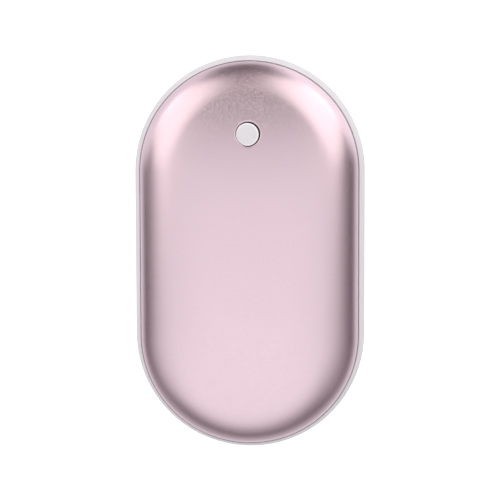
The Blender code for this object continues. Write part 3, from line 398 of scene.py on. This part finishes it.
def stadium(half_width):
    """Points round a long oval of two half circles: up the right side and down the left."""
    points = []
    for centre, turn in ((-HALF_STRAIGHT, -math.pi), (HALF_STRAIGHT, 0.0)):
        for step in range(END_STEPS):
            angle = turn + math.pi * step / END_STEPS
            points.append((half_width * math.cos(angle), centre + half_width * math.sin(angle)))
        x = half_width * math.cos(turn + math.pi)
        for step in range(SIDE_STEPS):
            points.append((x, centre - 2 * centre * step / SIDE_STEPS))
    return points


def piece_from(name, rows, faces, finish):
    """Make an object from rows of points and the faces between them, smooth but for sharp edges."""
    mesh = bpy.data.meshes.new(name)
    mesh.from_pydata([point for row in rows for point in row], [], faces)
    turned_out = bmesh.new()
    turned_out.from_mesh(mesh)
    bmesh.ops.recalc_face_normals(turned_out, faces=turned_out.faces)
    turned_out.to_mesh(mesh)
    turned_out.free()
    mesh.shade_smooth()
    mesh.set_sharp_from_angle(angle=SHARP_EDGE)
    if finish:
        mesh.materials.append(finish.material)
    piece = bpy.data.objects.new(name, mesh)
    bpy.context.scene.collection.objects.link(piece)
    return piece


def lofted(name, rows, finish, closed=False, caps=False):
    """Skin rows of equally many points, joined end to end where closed, or capped at both ends."""
    count = len(rows[0])
    faces = []
    for row in range(len(rows) if closed else len(rows) - 1):
        low = row * count
        high = (row + 1) % len(rows) * count
        for here in range(count):
            after = (here + 1) % count
            faces.append((low + here, low + after, high + after, high + here))
    if caps:
        last = (len(rows) - 1) * count
        faces.append(tuple(range(count)))
        faces.append(tuple(last + here for here in range(count)))
    return piece_from(name, rows, faces, finish)


def band_bulge_at(height):
    """Half-width of the band's bulged outer face at a height over the mid-plane."""
    half = BAND_HEIGHT / 2
    radius = (half ** 2 + BAND_BULGE ** 2) / (2 * BAND_BULGE)
    return WIDTH / 2 - radius + math.sqrt(radius ** 2 - height ** 2)


def band_profile():
    """Half-width and height round the band's section, with its lips rounded."""
    lip = SHELL_HALF_WIDTH + SEAM_SHOWN
    rebate = SEAM_HEIGHT - SEAM_GAP
    reach = BAND_HEIGHT / 2 - LIP_ROUND
    outer = [(band_bulge_at(reach * t), reach * t)
             for t in (2 * step / BULGE_STEPS - 1 for step in range(BULGE_STEPS + 1))]
    upper = []
    for step in range(1, LIP_STEPS + 1):
        angle = math.pi / 2 * step / LIP_STEPS
        across = band_bulge_at(reach) - (band_bulge_at(reach) - lip) * (1 - math.cos(angle))
        upper.append((across, reach + LIP_ROUND * math.sin(angle)))
    upper += [(lip, rebate), (TONGUE_OUTSIDE, rebate)]
    upper += [(TONGUE_OUTSIDE, TONGUE_TOP), (TONGUE_INSIDE, TONGUE_TOP)]
    lower = [(across, -height) for across, height in reversed(upper)]
    return outer + upper + lower


def cut_away(piece, tool):
    """Cut the tool out of the piece, and drop the tool."""
    cut = piece.modifiers.new(tool.name, "BOOLEAN")
    cut.operation = "DIFFERENCE"
    cut.solver = "EXACT"
    cut.object = tool
    bpy.context.view_layer.update()
    result = piece.evaluated_get(bpy.context.evaluated_depsgraph_get())
    mesh = bpy.data.meshes.new_from_object(result)
    piece.modifiers.clear()
    piece.data = mesh
    bpy.data.objects.remove(tool)


abs_white = Finish("satin_pale_abs", {"IOR": 1.52})
spark = abs_white.noise(SPARK_GRAIN, detail=3.0)
abs_white.feed("Base Color", abs_white.noise(ABS_PATCH).tint(ABS_DEEP, ABS_PALE))
abs_white.feed("Roughness", spark.vary(*ABS_ROUGHNESS))
abs_white.relief(spark, SPARK_RELIEF)

band_rows = [[(x, y, MID_HEIGHT + height) for x, y in stadium(across)]
             for across, height in band_profile()]
band = lofted("band", band_rows, abs_white, closed=True)

# The openings of the band's lower end, one for each socket, are moulded with a rounded edge.
OPENING_ROUND = 0.35 * MM
OPENING_CLEARANCE = 0.3 * MM
OPENING_REACH = 8.5 * MM
OVERRUN = 1.0 * MM
OUTPUT_SOCKET = {"x": -5.2 * MM, "width": 13.2 * MM, "height": 5.7 * MM, "length": 10.3 * MM,
                 "corner": 0.6 * MM}
CHARGING_SOCKET = {"x": 8.0 * MM, "width": 8.94 * MM, "height": 3.26 * MM, "length": 7.3 * MM,
                   "corner": 1.63 * MM}
LEAST_CORNER = 0.05 * MM
CORNER_STEPS = 8
EDGE_STEPS = 5


def rounded_slot(socket, grow):
    """Points (x, height) round a socket's section, grown or shrunk by a margin."""
    corner = max(socket["corner"] + grow, LEAST_CORNER)
    half_width = socket["width"] / 2 + grow - corner
    half_height = max(socket["height"] / 2 + grow - corner, 0.0)
    points = []
    for quarter, (side, up) in enumerate(((1, 1), (-1, 1), (-1, -1), (1, -1))):
        for step in range(CORNER_STEPS + 1):
            angle = math.pi / 2 * (quarter + step / CORNER_STEPS)
            x = socket["x"] + side * half_width + corner * math.cos(angle)
            points.append((x, up * half_height + corner * math.sin(angle)))
    return points


def band_face_y(x, height):
    """Where the band's outer face lies at the lower end."""
    return -HALF_STRAIGHT - math.sqrt(band_bulge_at(height) ** 2 - x ** 2)


inner_end = -HALF_STRAIGHT - SHELL_HALF_WIDTH + OPENING_REACH
for name, socket in (("output_opening", OUTPUT_SOCKET), ("charging_opening", CHARGING_SOCKET)):
    rows = [[(x, -LENGTH / 2 - OVERRUN, MID_HEIGHT + z)
             for x, z in rounded_slot(socket, OPENING_CLEARANCE + OPENING_ROUND)]]
    for step in range(EDGE_STEPS + 1):
        angle = math.pi / 2 * step / EDGE_STEPS
        grow = OPENING_CLEARANCE + OPENING_ROUND * (1 - math.sin(angle))
        sink = OPENING_ROUND * (1 - math.cos(angle))
        rows.append([(x, band_face_y(x, z) + sink, MID_HEIGHT + z)
                     for x, z in rounded_slot(socket, grow)])
    rows.append([(x, inner_end, MID_HEIGHT + z)
                 for x, z in rounded_slot(socket, OPENING_CLEARANCE)])
    cut_away(band, lofted(name, rows, None, caps=True))

weighting = band.modifiers.new("even_shading", "WEIGHTED_NORMAL")
weighting.keep_sharp = True
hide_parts("mid_frame")
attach(band, "housing")


# The two sockets: cans folded from bright nickel-plated steel, open at the mouth, each around a
# black moulded tongue with gold-flashed contacts. They stand a little inside the band's openings.
SOCKET_RECESS = 0.7 * MM
SOCKET_FIT = 0.3 * MM
SOCKET_BASE = 1.4 * MM
BASE_CORNER = 0.3 * MM
BLADE_NOSE = 0.3 * MM
BLADE_ROUND_SHARE = 0.22
CONTACT_SETBACK = 0.9 * MM
CONTACT_NOSE_SHARE = 1 / 6
# A blade or strip has a width, a length and a thickness.
OUTPUT_WALL = 0.4 * MM
OUTPUT_BLADE = (11.1 * MM, 8.2 * MM, 1.84 * MM)
OUTPUT_CONTACTS = {"count": 4, "pitch": 2.25 * MM, "strip": (1.0 * MM, 6.0 * MM, 0.12 * MM),
                   "faces": (-1,)}
CHARGING_WALL = 0.3 * MM
CHARGING_BLADE = (6.1 * MM, 4.6 * MM, 0.7 * MM)
CHARGING_CONTACTS = {"count": 8, "pitch": 0.62 * MM, "strip": (0.26 * MM, 3.0 * MM, 0.03 * MM),
                     "faces": (-1, 1)}
STEEL_COLOURS = ((0.56, 0.56, 0.55, 1.0), (0.70, 0.70, 0.69, 1.0))
STEEL_GRAIN = (0.6 * MM, 4.0)
STEEL_ROUGHNESS = (0.2, 0.18)
STEEL_RELIEF = 0.012 * MM
TONGUE_COLOURS = ((0.014, 0.014, 0.015, 1.0), (0.03, 0.03, 0.032, 1.0))
TONGUE_GRAIN = (0.3 * MM, 3.0)
TONGUE_ROUGHNESS = (0.34, 0.2)
TONGUE_RELIEF = 0.01 * MM
GOLD_COLOURS = ((0.82, 0.58, 0.22, 1.0), (0.90, 0.70, 0.36, 1.0))
GOLD_GRAIN = (0.4 * MM, 3.0)
GOLD_ROUGHNESS = (0.18, 0.2)

output = dict(OUTPUT_SOCKET, wall=OUTPUT_WALL, blade=OUTPUT_BLADE,
              lift=OUTPUT_SOCKET["height"] / 2 - OUTPUT_WALL - OUTPUT_BLADE[2])
charging = dict(CHARGING_SOCKET, wall=CHARGING_WALL, blade=CHARGING_BLADE, lift=0.0)


def mouth_of(socket):
    """The plane of a socket's mouth, set back from where the band is narrowest beside it."""
    edge = abs(socket["x"]) + socket["width"] / 2
    return -HALF_STRAIGHT - math.sqrt((WIDTH / 2) ** 2 - edge ** 2) + SOCKET_RECESS


def inner_back_of(socket):
    """The plane of the insert's back, just inside the can."""
    return mouth_of(socket) + socket["length"] - socket["wall"] - SOCKET_FIT


def can(name, node, socket):
    """A thin-walled can with a rolled mouth, closed at its back."""
    mouth, wall = mouth_of(socket), socket["wall"]
    back = mouth + socket["length"]
    lip = wall / 2
    stations = [(0.0, back)]
    for step in range(EDGE_STEPS + 1):
        angle = math.pi * step / EDGE_STEPS
        stations.append((-lip * (1 - math.cos(angle)), mouth + lip * (1 - math.sin(angle))))
    stations.append((-wall, back - wall))
    rows = [[(x, y, MID_HEIGHT + z) for x, z in rounded_slot(socket, grow)]
            for grow, y in stations]
    piece = lofted(name, rows, bright_steel, caps=True)
    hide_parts(node)
    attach(piece, "housing")


def tongue(name, node, socket):
    """The moulded insert: a base that fills the can's back, and a blade with rounded edges."""
    blade_width, blade_length, blade_height = socket["blade"]
    lift = socket["lift"]
    back = inner_back_of(socket)
    front = back - SOCKET_BASE
    tip = front - blade_length
    base = dict(socket, width=blade_width, corner=BASE_CORNER,
                height=socket["height"] - 2 * (socket["wall"] + SOCKET_FIT))
    flat = dict(base, height=blade_height, corner=blade_height * BLADE_ROUND_SHARE)
    rows = []
    for section, grow, y, rise in ((base, 0.0, back, 0.0), (base, 0.0, front, 0.0),
                                   (flat, 0.0, front, lift), (flat, 0.0, tip + BLADE_NOSE, lift),
                                   (flat, -BLADE_NOSE / 2, tip, lift)):
        rows.append([(x, y, MID_HEIGHT + rise + z) for x, z in rounded_slot(section, grow)])
    piece = lofted(name, rows, socket_black, caps=True)
    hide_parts(node)
    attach(piece, "housing")


def contacts(name, socket, layout):
    """Rows of contact strips on the blade, each with a nose that bends into the blade."""
    strip_width, strip_length, thickness = layout["strip"]
    front = inner_back_of(socket) - SOCKET_BASE
    end = front - socket["blade"][1] + CONTACT_SETBACK
    strips = bmesh.new()
    for face in layout["faces"]:
        level = MID_HEIGHT + socket["lift"] + face * socket["blade"][2] / 2
        top, bottom = level + face * thickness, level - face * thickness
        section = [(front, top), (end + strip_length * CONTACT_NOSE_SHARE, top), (end, level),
                   (end, bottom), (front, bottom)]
        for number in range(layout["count"]):
            middle = socket["x"] + (number - (layout["count"] - 1) / 2) * layout["pitch"]
            sides = []
            for x in (middle - strip_width / 2, middle + strip_width / 2):
                sides.append([strips.verts.new((x, y, z)) for y, z in section])
            for here in range(len(section)):
                after = (here + 1) % len(section)
                strips.faces.new((sides[0][here], sides[0][after],
                                  sides[1][after], sides[1][here]))
            for side in sides:
                strips.faces.new(side)
    bmesh.ops.recalc_face_normals(strips, faces=strips.faces)
    mesh = bpy.data.meshes.new(name)
    strips.to_mesh(mesh)
    strips.free()
    mesh.materials.append(contact_gold.material)
    piece = bpy.data.objects.new(name, mesh)
    bpy.context.scene.collection.objects.link(piece)
    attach(piece, "housing")


bright_steel = grained("folded_plated_steel", {"Metallic": 1.0}, STEEL_GRAIN, STEEL_COLOURS,
                       STEEL_ROUGHNESS, STEEL_RELIEF)
socket_black = grained("moulded_socket_insert", {"IOR": 1.5}, TONGUE_GRAIN, TONGUE_COLOURS,
                       TONGUE_ROUGHNESS, TONGUE_RELIEF)
contact_gold = grained("gold_flashed_contact", {"Metallic": 1.0}, GOLD_GRAIN, GOLD_COLOURS,
                       GOLD_ROUGHNESS)

can("output_socket_can", "usb_a_shell", output)
tongue("output_socket_tongue", "usb_a_tongue", output)
contacts("output_socket_contacts", output, OUTPUT_CONTACTS)
can("charging_socket_can", "charging_socket_shell", charging)
tongue("charging_tongue", "charging_socket_tongue", charging)
contacts("charging_socket_contacts", charging, CHARGING_CONTACTS)


# The two shells: aluminium sheet drawn to a pebble shape, bead-blasted to an even fine grain and
# anodised rose pink. The rim is trimmed and rolled over, and it drops into the band's rebate.
SHOULDER_WIDTH = 9.5 * MM
SHOULDER_POWER = 2.4
CROWN_ACROSS = 0.5 * MM
CROWN_ALONG = 1.2 * MM
CROWN_POWER = 4
REST_FLAT_DEPTH = 0.25 * MM
REST_BLEND = 0.04 * MM
RIM_ROUND = 0.16 * MM
BUTTON_Y = LENGTH / 2 - 19.8 * MM
HOLE_RADIUS = 3.05 * MM
HOLE_ROUND = 0.3 * MM
HOLE_DROP = 0.12 * MM
SHOULDER_STEPS = 34
FACE_STEPS = 18
FACE_CROWDING = 1.4
INNER_STEPS = 14
RIM_STEPS = 4
HOLE_STEPS = 5
FRONT, BACK = 1, -1
ROSE = (0.795, 0.622, 0.692, 1.0)
ROSE_DEEP = (0.770, 0.598, 0.668, 1.0)
DYE_PATCH = 14 * MM
BLAST_GRAIN, BLAST_SHARE = 0.11 * MM, 0.25
DIMPLE_GRAIN, DIMPLE_SHARE = 0.45 * MM, 0.4
BLAST_RELIEF = 0.012 * MM
SPECK_GRAIN = 0.4 * MM
SPECK_EDGE = (0.5, 0.62)
ROSE_ROUGHNESS = (0.315, 0.07)

FACE_HALF_WIDTH = SHELL_HALF_WIDTH - SHOULDER_WIDTH
FACE_HALF_LENGTH = FACE_HALF_WIDTH + HALF_STRAIGHT
DOME_RISE = {FRONT: MID_HEIGHT - SEAM_HEIGHT, BACK: MID_HEIGHT - SEAM_HEIGHT + REST_FLAT_DEPTH}


def crown_fall(share):
    """Fall of the crown: flat at the middle, one at the face's edge, and straight on from there."""
    share = abs(share)
    return share ** CROWN_POWER if share < 1 else 1 + CROWN_POWER * (share - 1)


def dome_height(x, y, depth, side):
    """Height over the mid-plane of the surface at a depth under a shell's outer face."""
    inset = SHELL_HALF_WIDTH - depth - math.hypot(x, max(abs(y) - HALF_STRAIGHT, 0.0))
    share = min(max(inset / (SHOULDER_WIDTH - depth), 0.0), 1.0)
    rise = DOME_RISE[side] - depth
    rise -= CROWN_ACROSS * crown_fall(x / FACE_HALF_WIDTH)
    rise -= CROWN_ALONG * crown_fall(y / FACE_HALF_LENGTH)
    height = SEAM_HEIGHT + rise * math.sqrt(1.0 - (1.0 - share) ** SHOULDER_POWER)
    if depth == 0 and height > MID_HEIGHT - REST_BLEND:
        over = height - MID_HEIGHT + REST_BLEND
        height = MID_HEIGHT - REST_BLEND + over / (1 + over / REST_BLEND)
    return height


def shell_rows(depth, side, hole, hole_y, shoulder_steps):
    """Rows over one face of a shell, from its rim to the edge of its hole or to one point."""
    half_width = SHELL_HALF_WIDTH - depth
    shoulder = SHOULDER_WIDTH - depth
    plans = []
    for step in range(shoulder_steps + 1):
        angle = math.pi / 2 * step / shoulder_steps
        plans.append(stadium(half_width - shoulder * (1 - math.cos(angle))))
    face = plans[-1]
    for step in range(1, FACE_STEPS + 1):
        share = (1 - step / FACE_STEPS) ** FACE_CROWDING
        row = []
        for x, y in face:
            reach = math.hypot(x, y - hole_y)
            closing = hole + (reach - hole) * share
            row.append((x * closing / reach, hole_y + (y - hole_y) * closing / reach))
        plans.append(row)
    return [[(x, y, MID_HEIGHT + side * dome_height(x, y, depth, side)) for x, y in plan]
            for plan in plans]


def rim_rows(side):
    """The rolled rim between a shell's inner and outer faces."""
    rows = []
    for step in range(RIM_STEPS + 1):
        angle = math.pi / 2 * step / RIM_STEPS
        inset = RIM_ROUND * (1 - math.sin(angle))
        height = side * (SEAM_HEIGHT + RIM_ROUND * (1 - math.cos(angle)))
        rows.append([(x, y, MID_HEIGHT + height) for x, y in stadium(SHELL_HALF_WIDTH - inset)])
    return rows


def hole_rows(edge, side, hole, hole_y):
    """The soft turn from the edge of a shell's face down into its hole."""
    shrink = hole / (hole + HOLE_ROUND)
    rows = []
    for step in range(1, HOLE_STEPS + 1):
        angle = math.pi / 2 * step / HOLE_STEPS
        drop = HOLE_DROP * (1 - math.cos(angle))
        closing = 1 - (1 - shrink) * math.sin(angle)
        rows.append([(x * closing, hole_y + (y - hole_y) * closing, z - side * drop)
                     for x, y, z in edge])
    return rows


def drawn_shell(name, side, hole, hole_y):
    """A shell of even wall, closed through its rim and through the wall of its hole."""
    outer_hole = hole + HOLE_ROUND if hole else 0.0
    outer = shell_rows(0.0, side, outer_hole, hole_y, SHOULDER_STEPS)
    inner = shell_rows(SHELL_WALL, side, hole, hole_y, INNER_STEPS)
    trimmed = [row for row in outer if abs(row[0][2] - MID_HEIGHT) > SEAM_HEIGHT + RIM_ROUND]
    rows = inner[::-1] + rim_rows(side) + trimmed
    if hole:
        rows += hole_rows(outer[-1], side, hole, hole_y)
    return lofted(name, rows, rose, closed=bool(hole))


rose = Finish("bead_blasted_rose_aluminium", {"Metallic": 1.0})
blast = rose.noise(BLAST_GRAIN)
dimples = rose.noise(DIMPLE_GRAIN)
rose.feed("Base Color", rose.noise(DYE_PATCH).tint(ROSE_DEEP, ROSE))
specks = rose.noise(SPECK_GRAIN, detail=1.0).ease(*SPECK_EDGE)
rose.feed("Roughness", specks.vary(*ROSE_ROUGHNESS))
rose.relief(blast * BLAST_SHARE + dimples * DIMPLE_SHARE, BLAST_RELIEF)

front_cover = drawn_shell("front_cover", FRONT, HOLE_RADIUS, BUTTON_Y)
back_cover = drawn_shell("back_cover", BACK, 0.0, 0.0)
for cover, node in ((front_cover, "front_shell"), (back_cover, "back_shell")):
    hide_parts(node)
    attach(cover, "housing")


# The push button: a cap moulded in the band's own pale plastic, dished very slightly, with a
# painted highlight on its rounded edge except on the left, and a flange under the shell that
# keeps it in. It sits off centre in its hole by its play; its wall below the edge is painted shade.
BUTTON_RADIUS = 2.8 * MM
BUTTON_OFF = (-0.17 * MM, -0.08 * MM)
BUTTON_RECESS = 0.1 * MM
BUTTON_EDGE = 0.22 * MM
BUTTON_DISH = 0.05 * MM
FLANGE_REACH = 0.95 * MM
FLANGE_THICKNESS = 0.6 * MM
NUB_RADIUS = 1.2 * MM
NUB_HEIGHT = 0.35 * MM
CENTRE_RADIUS = 0.0002 * MM
ROUND_STEPS = 96
BUTTON_EDGE_STEPS = 6
DISH_STEPS = 7
BUTTON_PALE = (0.765, 0.731, 0.772, 1.0)
BUTTON_DEEP = (0.740, 0.706, 0.747, 1.0)
# Painted highlight: the lighter colour on the cap's rounded edge, where the soft boxes would gleam.
BUTTON_PAINTED_HIGHLIGHT = (0.97, 0.94, 0.965, 1.0)
# Painted shade: the cap's wall below its edge, down in the gap round it, is coloured near black.
BUTTON_PAINTED_SHADE = (0.035, 0.020, 0.028, 1.0)
BUTTON_PATCH = 2 * MM
HAZE_GRAIN = 0.2 * MM
HAZE_RELIEF = 0.004 * MM
BUTTON_ROUGHNESS = (0.22, 0.1)
# Where the painted highlight lies: close to the rim, and faded out towards the left side.
HIGHLIGHT_EDGE = (BUTTON_RADIUS - 0.42 * MM, BUTTON_RADIUS - 0.24 * MM)
HIGHLIGHT_SIDE = (-BUTTON_RADIUS, -0.2 * BUTTON_RADIUS)
HIGHLIGHT_TURN = 0.35

cap_top = dome_height(0.0, BUTTON_Y, 0.0, FRONT) - BUTTON_RECESS
flange_top = dome_height(0.0, BUTTON_Y, SHELL_WALL, FRONT) - SEAM_GAP
flange_low = flange_top - FLANGE_THICKNESS
flange_radius = BUTTON_RADIUS + FLANGE_REACH
flat_radius = BUTTON_RADIUS - BUTTON_EDGE
cap_x, cap_y = BUTTON_OFF[0], BUTTON_Y + BUTTON_OFF[1]

button_abs = Finish("polished_pale_abs", {"IOR": 1.52})
haze = button_abs.noise(HAZE_GRAIN, detail=3.0)
# Painted shade: below the rounded edge the cap is coloured dark, as the shade in its gap.
above_painted_shade = button_abs.along("Z") > MID_HEIGHT + cap_top - BUTTON_EDGE
off_x = button_abs.along("X") - cap_x
off_y = button_abs.along("Y") - cap_y
# The edge's painted highlight: lighter near the rim, and faded out on the left.
painted_highlight = off_x.hypotenuse(off_y).ease(*HIGHLIGHT_EDGE)
painted_highlight = painted_highlight * (off_x + off_y * HIGHLIGHT_TURN).ease(*HIGHLIGHT_SIDE)
pale = painted_highlight.tint(button_abs.noise(BUTTON_PATCH).tint(BUTTON_DEEP, BUTTON_PALE), BUTTON_PAINTED_HIGHLIGHT)
button_abs.feed("Base Color", above_painted_shade.tint(BUTTON_PAINTED_SHADE, pale))
button_abs.feed("Roughness", haze.vary(*BUTTON_ROUGHNESS))
button_abs.relief(haze, HAZE_RELIEF)

cap_profile = [(CENTRE_RADIUS, flange_low - NUB_HEIGHT), (NUB_RADIUS, flange_low - NUB_HEIGHT)]
cap_profile += [(NUB_RADIUS, flange_low), (flange_radius, flange_low)]
cap_profile += [(flange_radius, flange_top), (BUTTON_RADIUS, flange_top)]
for step in range(BUTTON_EDGE_STEPS + 1):
    angle = math.pi / 2 * step / BUTTON_EDGE_STEPS
    across = BUTTON_RADIUS - BUTTON_EDGE * (1 - math.cos(angle))
    cap_profile.append((across, cap_top - BUTTON_EDGE * (1 - math.sin(angle))))
for step in range(1, DISH_STEPS + 1):
    share = 1 - step / DISH_STEPS
    dish = BUTTON_DISH * (1 - share ** 2) ** 2
    cap_profile.append((max(flat_radius * share, CENTRE_RADIUS), cap_top - dish))
cap_rows = []
for radius, height in cap_profile:
    row = []
    for step in range(ROUND_STEPS):
        angle = 2 * math.pi * step / ROUND_STEPS
        row.append((cap_x + radius * math.cos(angle), cap_y + radius * math.sin(angle),
                    MID_HEIGHT + height))
    cap_rows.append(row)
button = lofted("push_button", cap_rows, button_abs, caps=True)
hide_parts("button_cap")
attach(button, "button")


# The table: a white sheet that keeps a soft shadow under the warmer. Camera and glass rays see it
# near white. Mirror rays see a pool of light that fades outwards, with a glare towards each soft
# box and a pinker tint where it is dim. It isn't part of the object.
FLOOR_HALF = 4.0
FLOOR_WHITE = (0.82, 0.82, 0.82, 1.0)
FLOOR_GLOW = 0.62
POOL_LEVEL = 0.92
POOL_FAR_LEVEL, POOL_BACK_LEVEL = 0.13, 0.4
POOL_FADE = (8 * MM, 102 * MM)
POOL_LEAN, POOL_BEHIND = 0.15, 0.3
GLARES = ((-54, 0.94), (46, 1.22))
GLARE_FADE = (0.77, 0.93)
WHITE = (1.0, 1.0, 1.0, 1.0)
DIM_TINT = (1.0, 0.80, 0.88, 1.0)
DIM_FADE = (0.1, 0.6)


def with_glares(level, sideways, ahead, shown=1.0):
    """Carry a level over to each glare's own on the side where its soft box stands."""
    reach = sideways.hypotenuse(ahead)
    for azimuth, glare in GLARES:
        turn = math.radians(azimuth)
        towards = (sideways * math.sin(turn) + ahead * math.cos(turn)) / reach
        share = towards.ease(*GLARE_FADE) * shown
        level = level * (1.0 - share) + share * glare
    return level


corners = [(x * FLOOR_HALF, y * FLOOR_HALF, 0.0) for x, y in ((-1, -1), (1, -1), (1, 1), (-1, 1))]
floor = piece_from("floor", [corners], [(0, 1, 2, 3)], None)
sheet = bpy.data.materials.new("white_sheet")
sheet.use_nodes = True
sheet.node_tree.nodes.clear()
paper = Socket(sheet.node_tree)
spot = paper.node("TexCoord", {}, {}, "Object")
spot_x = paper.node("SeparateXYZ", {}, {0: spot}, "X")
spot_y = paper.node("SeparateXYZ", {}, {0: spot}, "Y")
beyond = (abs(spot_y) - HALF_STRAIGHT).at_least(0.0)
distance = spot_x.hypotenuse(beyond)
lean = spot_x / distance
behind = beyond / distance * (spot_y < 0.0)
outward = (distance - WIDTH / 2) * (1.0 - lean * POOL_LEAN + behind * POOL_BEHIND)
faded = outward.ease(*POOL_FADE)
pool = (1.0 - faded) * POOL_LEVEL + faded * (POOL_FAR_LEVEL + behind * POOL_BACK_LEVEL)
pool = with_glares(pool, spot_x, spot_y - HALF_STRAIGHT)
camera_ray = paper.node("LightPath", {}, {}, "Is Camera Ray")
glossy_ray = paper.node("LightPath", {}, {}, "Is Glossy Ray")
glass_ray = paper.node("LightPath", {}, {}, "Is Transmission Ray")
matt = paper.node("BsdfDiffuse", {}, {"Color": FLOOR_WHITE})
lift = (camera_ray + glass_ray) * FLOOR_GLOW
glow = paper.node("Emission", {}, {"Color": WHITE, "Strength": lift})
seen = paper.node("AddShader", {}, {0: matt, 1: glow})
pool_colour = pool.ease(*DIM_FADE).tint(DIM_TINT, WHITE)
mirrored_sheet = paper.node("Emission", {}, {"Color": pool_colour, "Strength": pool})
both = paper.node("MixShader", {}, {0: glossy_ray, 1: seen, 2: mirrored_sheet})
paper.node("OutputMaterial", {}, {"Surface": both})
floor.data.materials.append(sheet)


# The studio: a white tent that is open at the level of the table, so its sheen falls off towards
# the horizon, with a grey card over the button's end and two oval soft boxes beside it. Camera
# and glass rays see plain white, and matt surfaces a soft light, strongest from the sockets' end.
TENT_PLAIN, TENT_SIDE, TENT_LEAN = 0.42, 0.34, 0.47
TENT_DARK, TENT_RISE = 0.11, 0.80
TENT_TOP, TENT_TOP_START = 0.28, 0.93
TENT_RIGHT = 0.4
TENT_BACK = 0.86
CARD_SHADE = 1.0
CARD_START = (-0.03, 0.25)
CARD_END = (0.65, 1.0)
CORNER_SHADE = 1.15
CORNER_START = (0.2, 0.6)
SILL_SHADE = 0.6
SILL_START = (0.55, 0.8)
SILL_TOP = (0.2, 0.8)
GLARE_TOP = (0.0, 0.22)
BOX_DISTANCE = 0.6
BOX_COLOUR = (1.0, 0.985, 0.945)
# Each soft box has an azimuth and elevation in degrees, a width, a height and a brightness.
SOFT_BOXES = (("soft_box_left", -50, 34.6, 0.6, 0.81, 1.48),
              ("soft_box_right", 44, 35.4, 0.63, 0.83, 1.61))

world = bpy.data.worlds.new("tent")
bpy.context.scene.world = world
world.use_nodes = True
world.node_tree.nodes.clear()
tent = Socket(world.node_tree)
direction = tent.node("TexCoord", {}, {}, "Generated")
upward = tent.node("SeparateXYZ", {}, {0: direction}, "Z")
endward = tent.node("SeparateXYZ", {}, {0: direction}, "Y")
sideways = tent.node("SeparateXYZ", {}, {0: direction}, "X")
rightward = sideways.at_least(0.0)
backward = (0.0 - endward).at_least(0.0)
dome = upward.at_least(0.0).vary(TENT_DARK, TENT_RISE)
dome = dome + upward.ease(TENT_TOP_START, 1.0, 0.0, TENT_TOP)
card = endward.ease(*CARD_START) * (1.0 - endward.ease(*CARD_END))
right_part = rightward * rightward * (rightward * rightward)
corner = rightward * backward * upward.ease(*CORNER_START)
sill = abs(endward).ease(*SILL_START) * (1.0 - upward.ease(*SILL_TOP))
sheen = dome * backward.vary(1.0, TENT_BACK)
for part, shading in ((card, CARD_SHADE), (right_part, TENT_RIGHT), (corner, CORNER_SHADE),
                      (sill, SILL_SHADE)):
    sheen = sheen * (1.0 - part * shading)
sheen = with_glares(sheen, sideways, endward, 1.0 - upward.ease(*GLARE_TOP))
mirrored = tent.node("LightPath", {}, {}, "Is Glossy Ray")
direct = tent.node("LightPath", {}, {}, "Is Camera Ray")
through = tent.node("LightPath", {}, {}, "Is Transmission Ray")
white = direct + through
soft_light = TENT_PLAIN + (1.0 - upward) * TENT_SIDE - endward * TENT_LEAN
level = (1.0 - mirrored - white) * soft_light + mirrored * sheen + white
tent_colour = (mirrored * (1.0 - sheen.ease(*DIM_FADE))).tint(WHITE, DIM_TINT)
backdrop = tent.node("Background", {}, {"Color": tent_colour, "Strength": level})
tent.node("OutputWorld", {}, {"Surface": backdrop})

for name, azimuth, elevation, box_width, box_height, brightness in SOFT_BOXES:
    lamp = bpy.data.lights.new(name, "AREA")
    lamp.shape = "ELLIPSE"
    lamp.color = BOX_COLOUR
    lamp.size = box_width
    lamp.size_y = box_height
    ellipse_area = math.pi / 4 * box_width * box_height
    lamp.energy = brightness * math.pi * ellipse_area
    soft_box = bpy.data.objects.new(name, lamp)
    turn, rise = math.radians(azimuth), math.radians(elevation)
    towards = Vector((math.sin(turn) * math.cos(rise), math.cos(turn) * math.cos(rise),
                      math.sin(rise)))
    soft_box.location = towards * BOX_DISTANCE
    soft_box.rotation_euler = towards.to_track_quat("Z", "Y").to_euler()
    bpy.context.scene.collection.objects.link(soft_box)


# The camera stands almost straight over the warmer, a little towards the button's end and to the
# right, and looks at it through a long lens.
CAMERA_DISTANCE = 375 * MM
CAMERA_PITCH = math.radians(4.6)
CAMERA_YAW = math.radians(2.2)
CAMERA_ROLL = math.radians(-0.15)
CAMERA_LENS = 106.35
AIM = Vector((-0.03 * MM, 0.46 * MM, MID_HEIGHT))

away = Vector((math.sin(CAMERA_YAW) * math.cos(CAMERA_PITCH), math.sin(CAMERA_PITCH),
               math.cos(CAMERA_YAW) * math.cos(CAMERA_PITCH)))
picture_right = Vector((0, 1, 0)).cross(away).normalized()
facing = Matrix((picture_right, away.cross(picture_right), away)).transposed()
camera_data = bpy.data.cameras.new("camera")
camera_data.lens = CAMERA_LENS
camera = bpy.data.objects.new("camera", camera_data)
camera.matrix_world = (Matrix.Translation(AIM + away * CAMERA_DISTANCE) @ facing.to_4x4()
                       @ Matrix.Rotation(CAMERA_ROLL, 4, "Z"))
bpy.context.scene.collection.objects.link(camera)
bpy.context.scene.camera = camera
bpy.context.scene.view_settings.view_transform = "Standard"
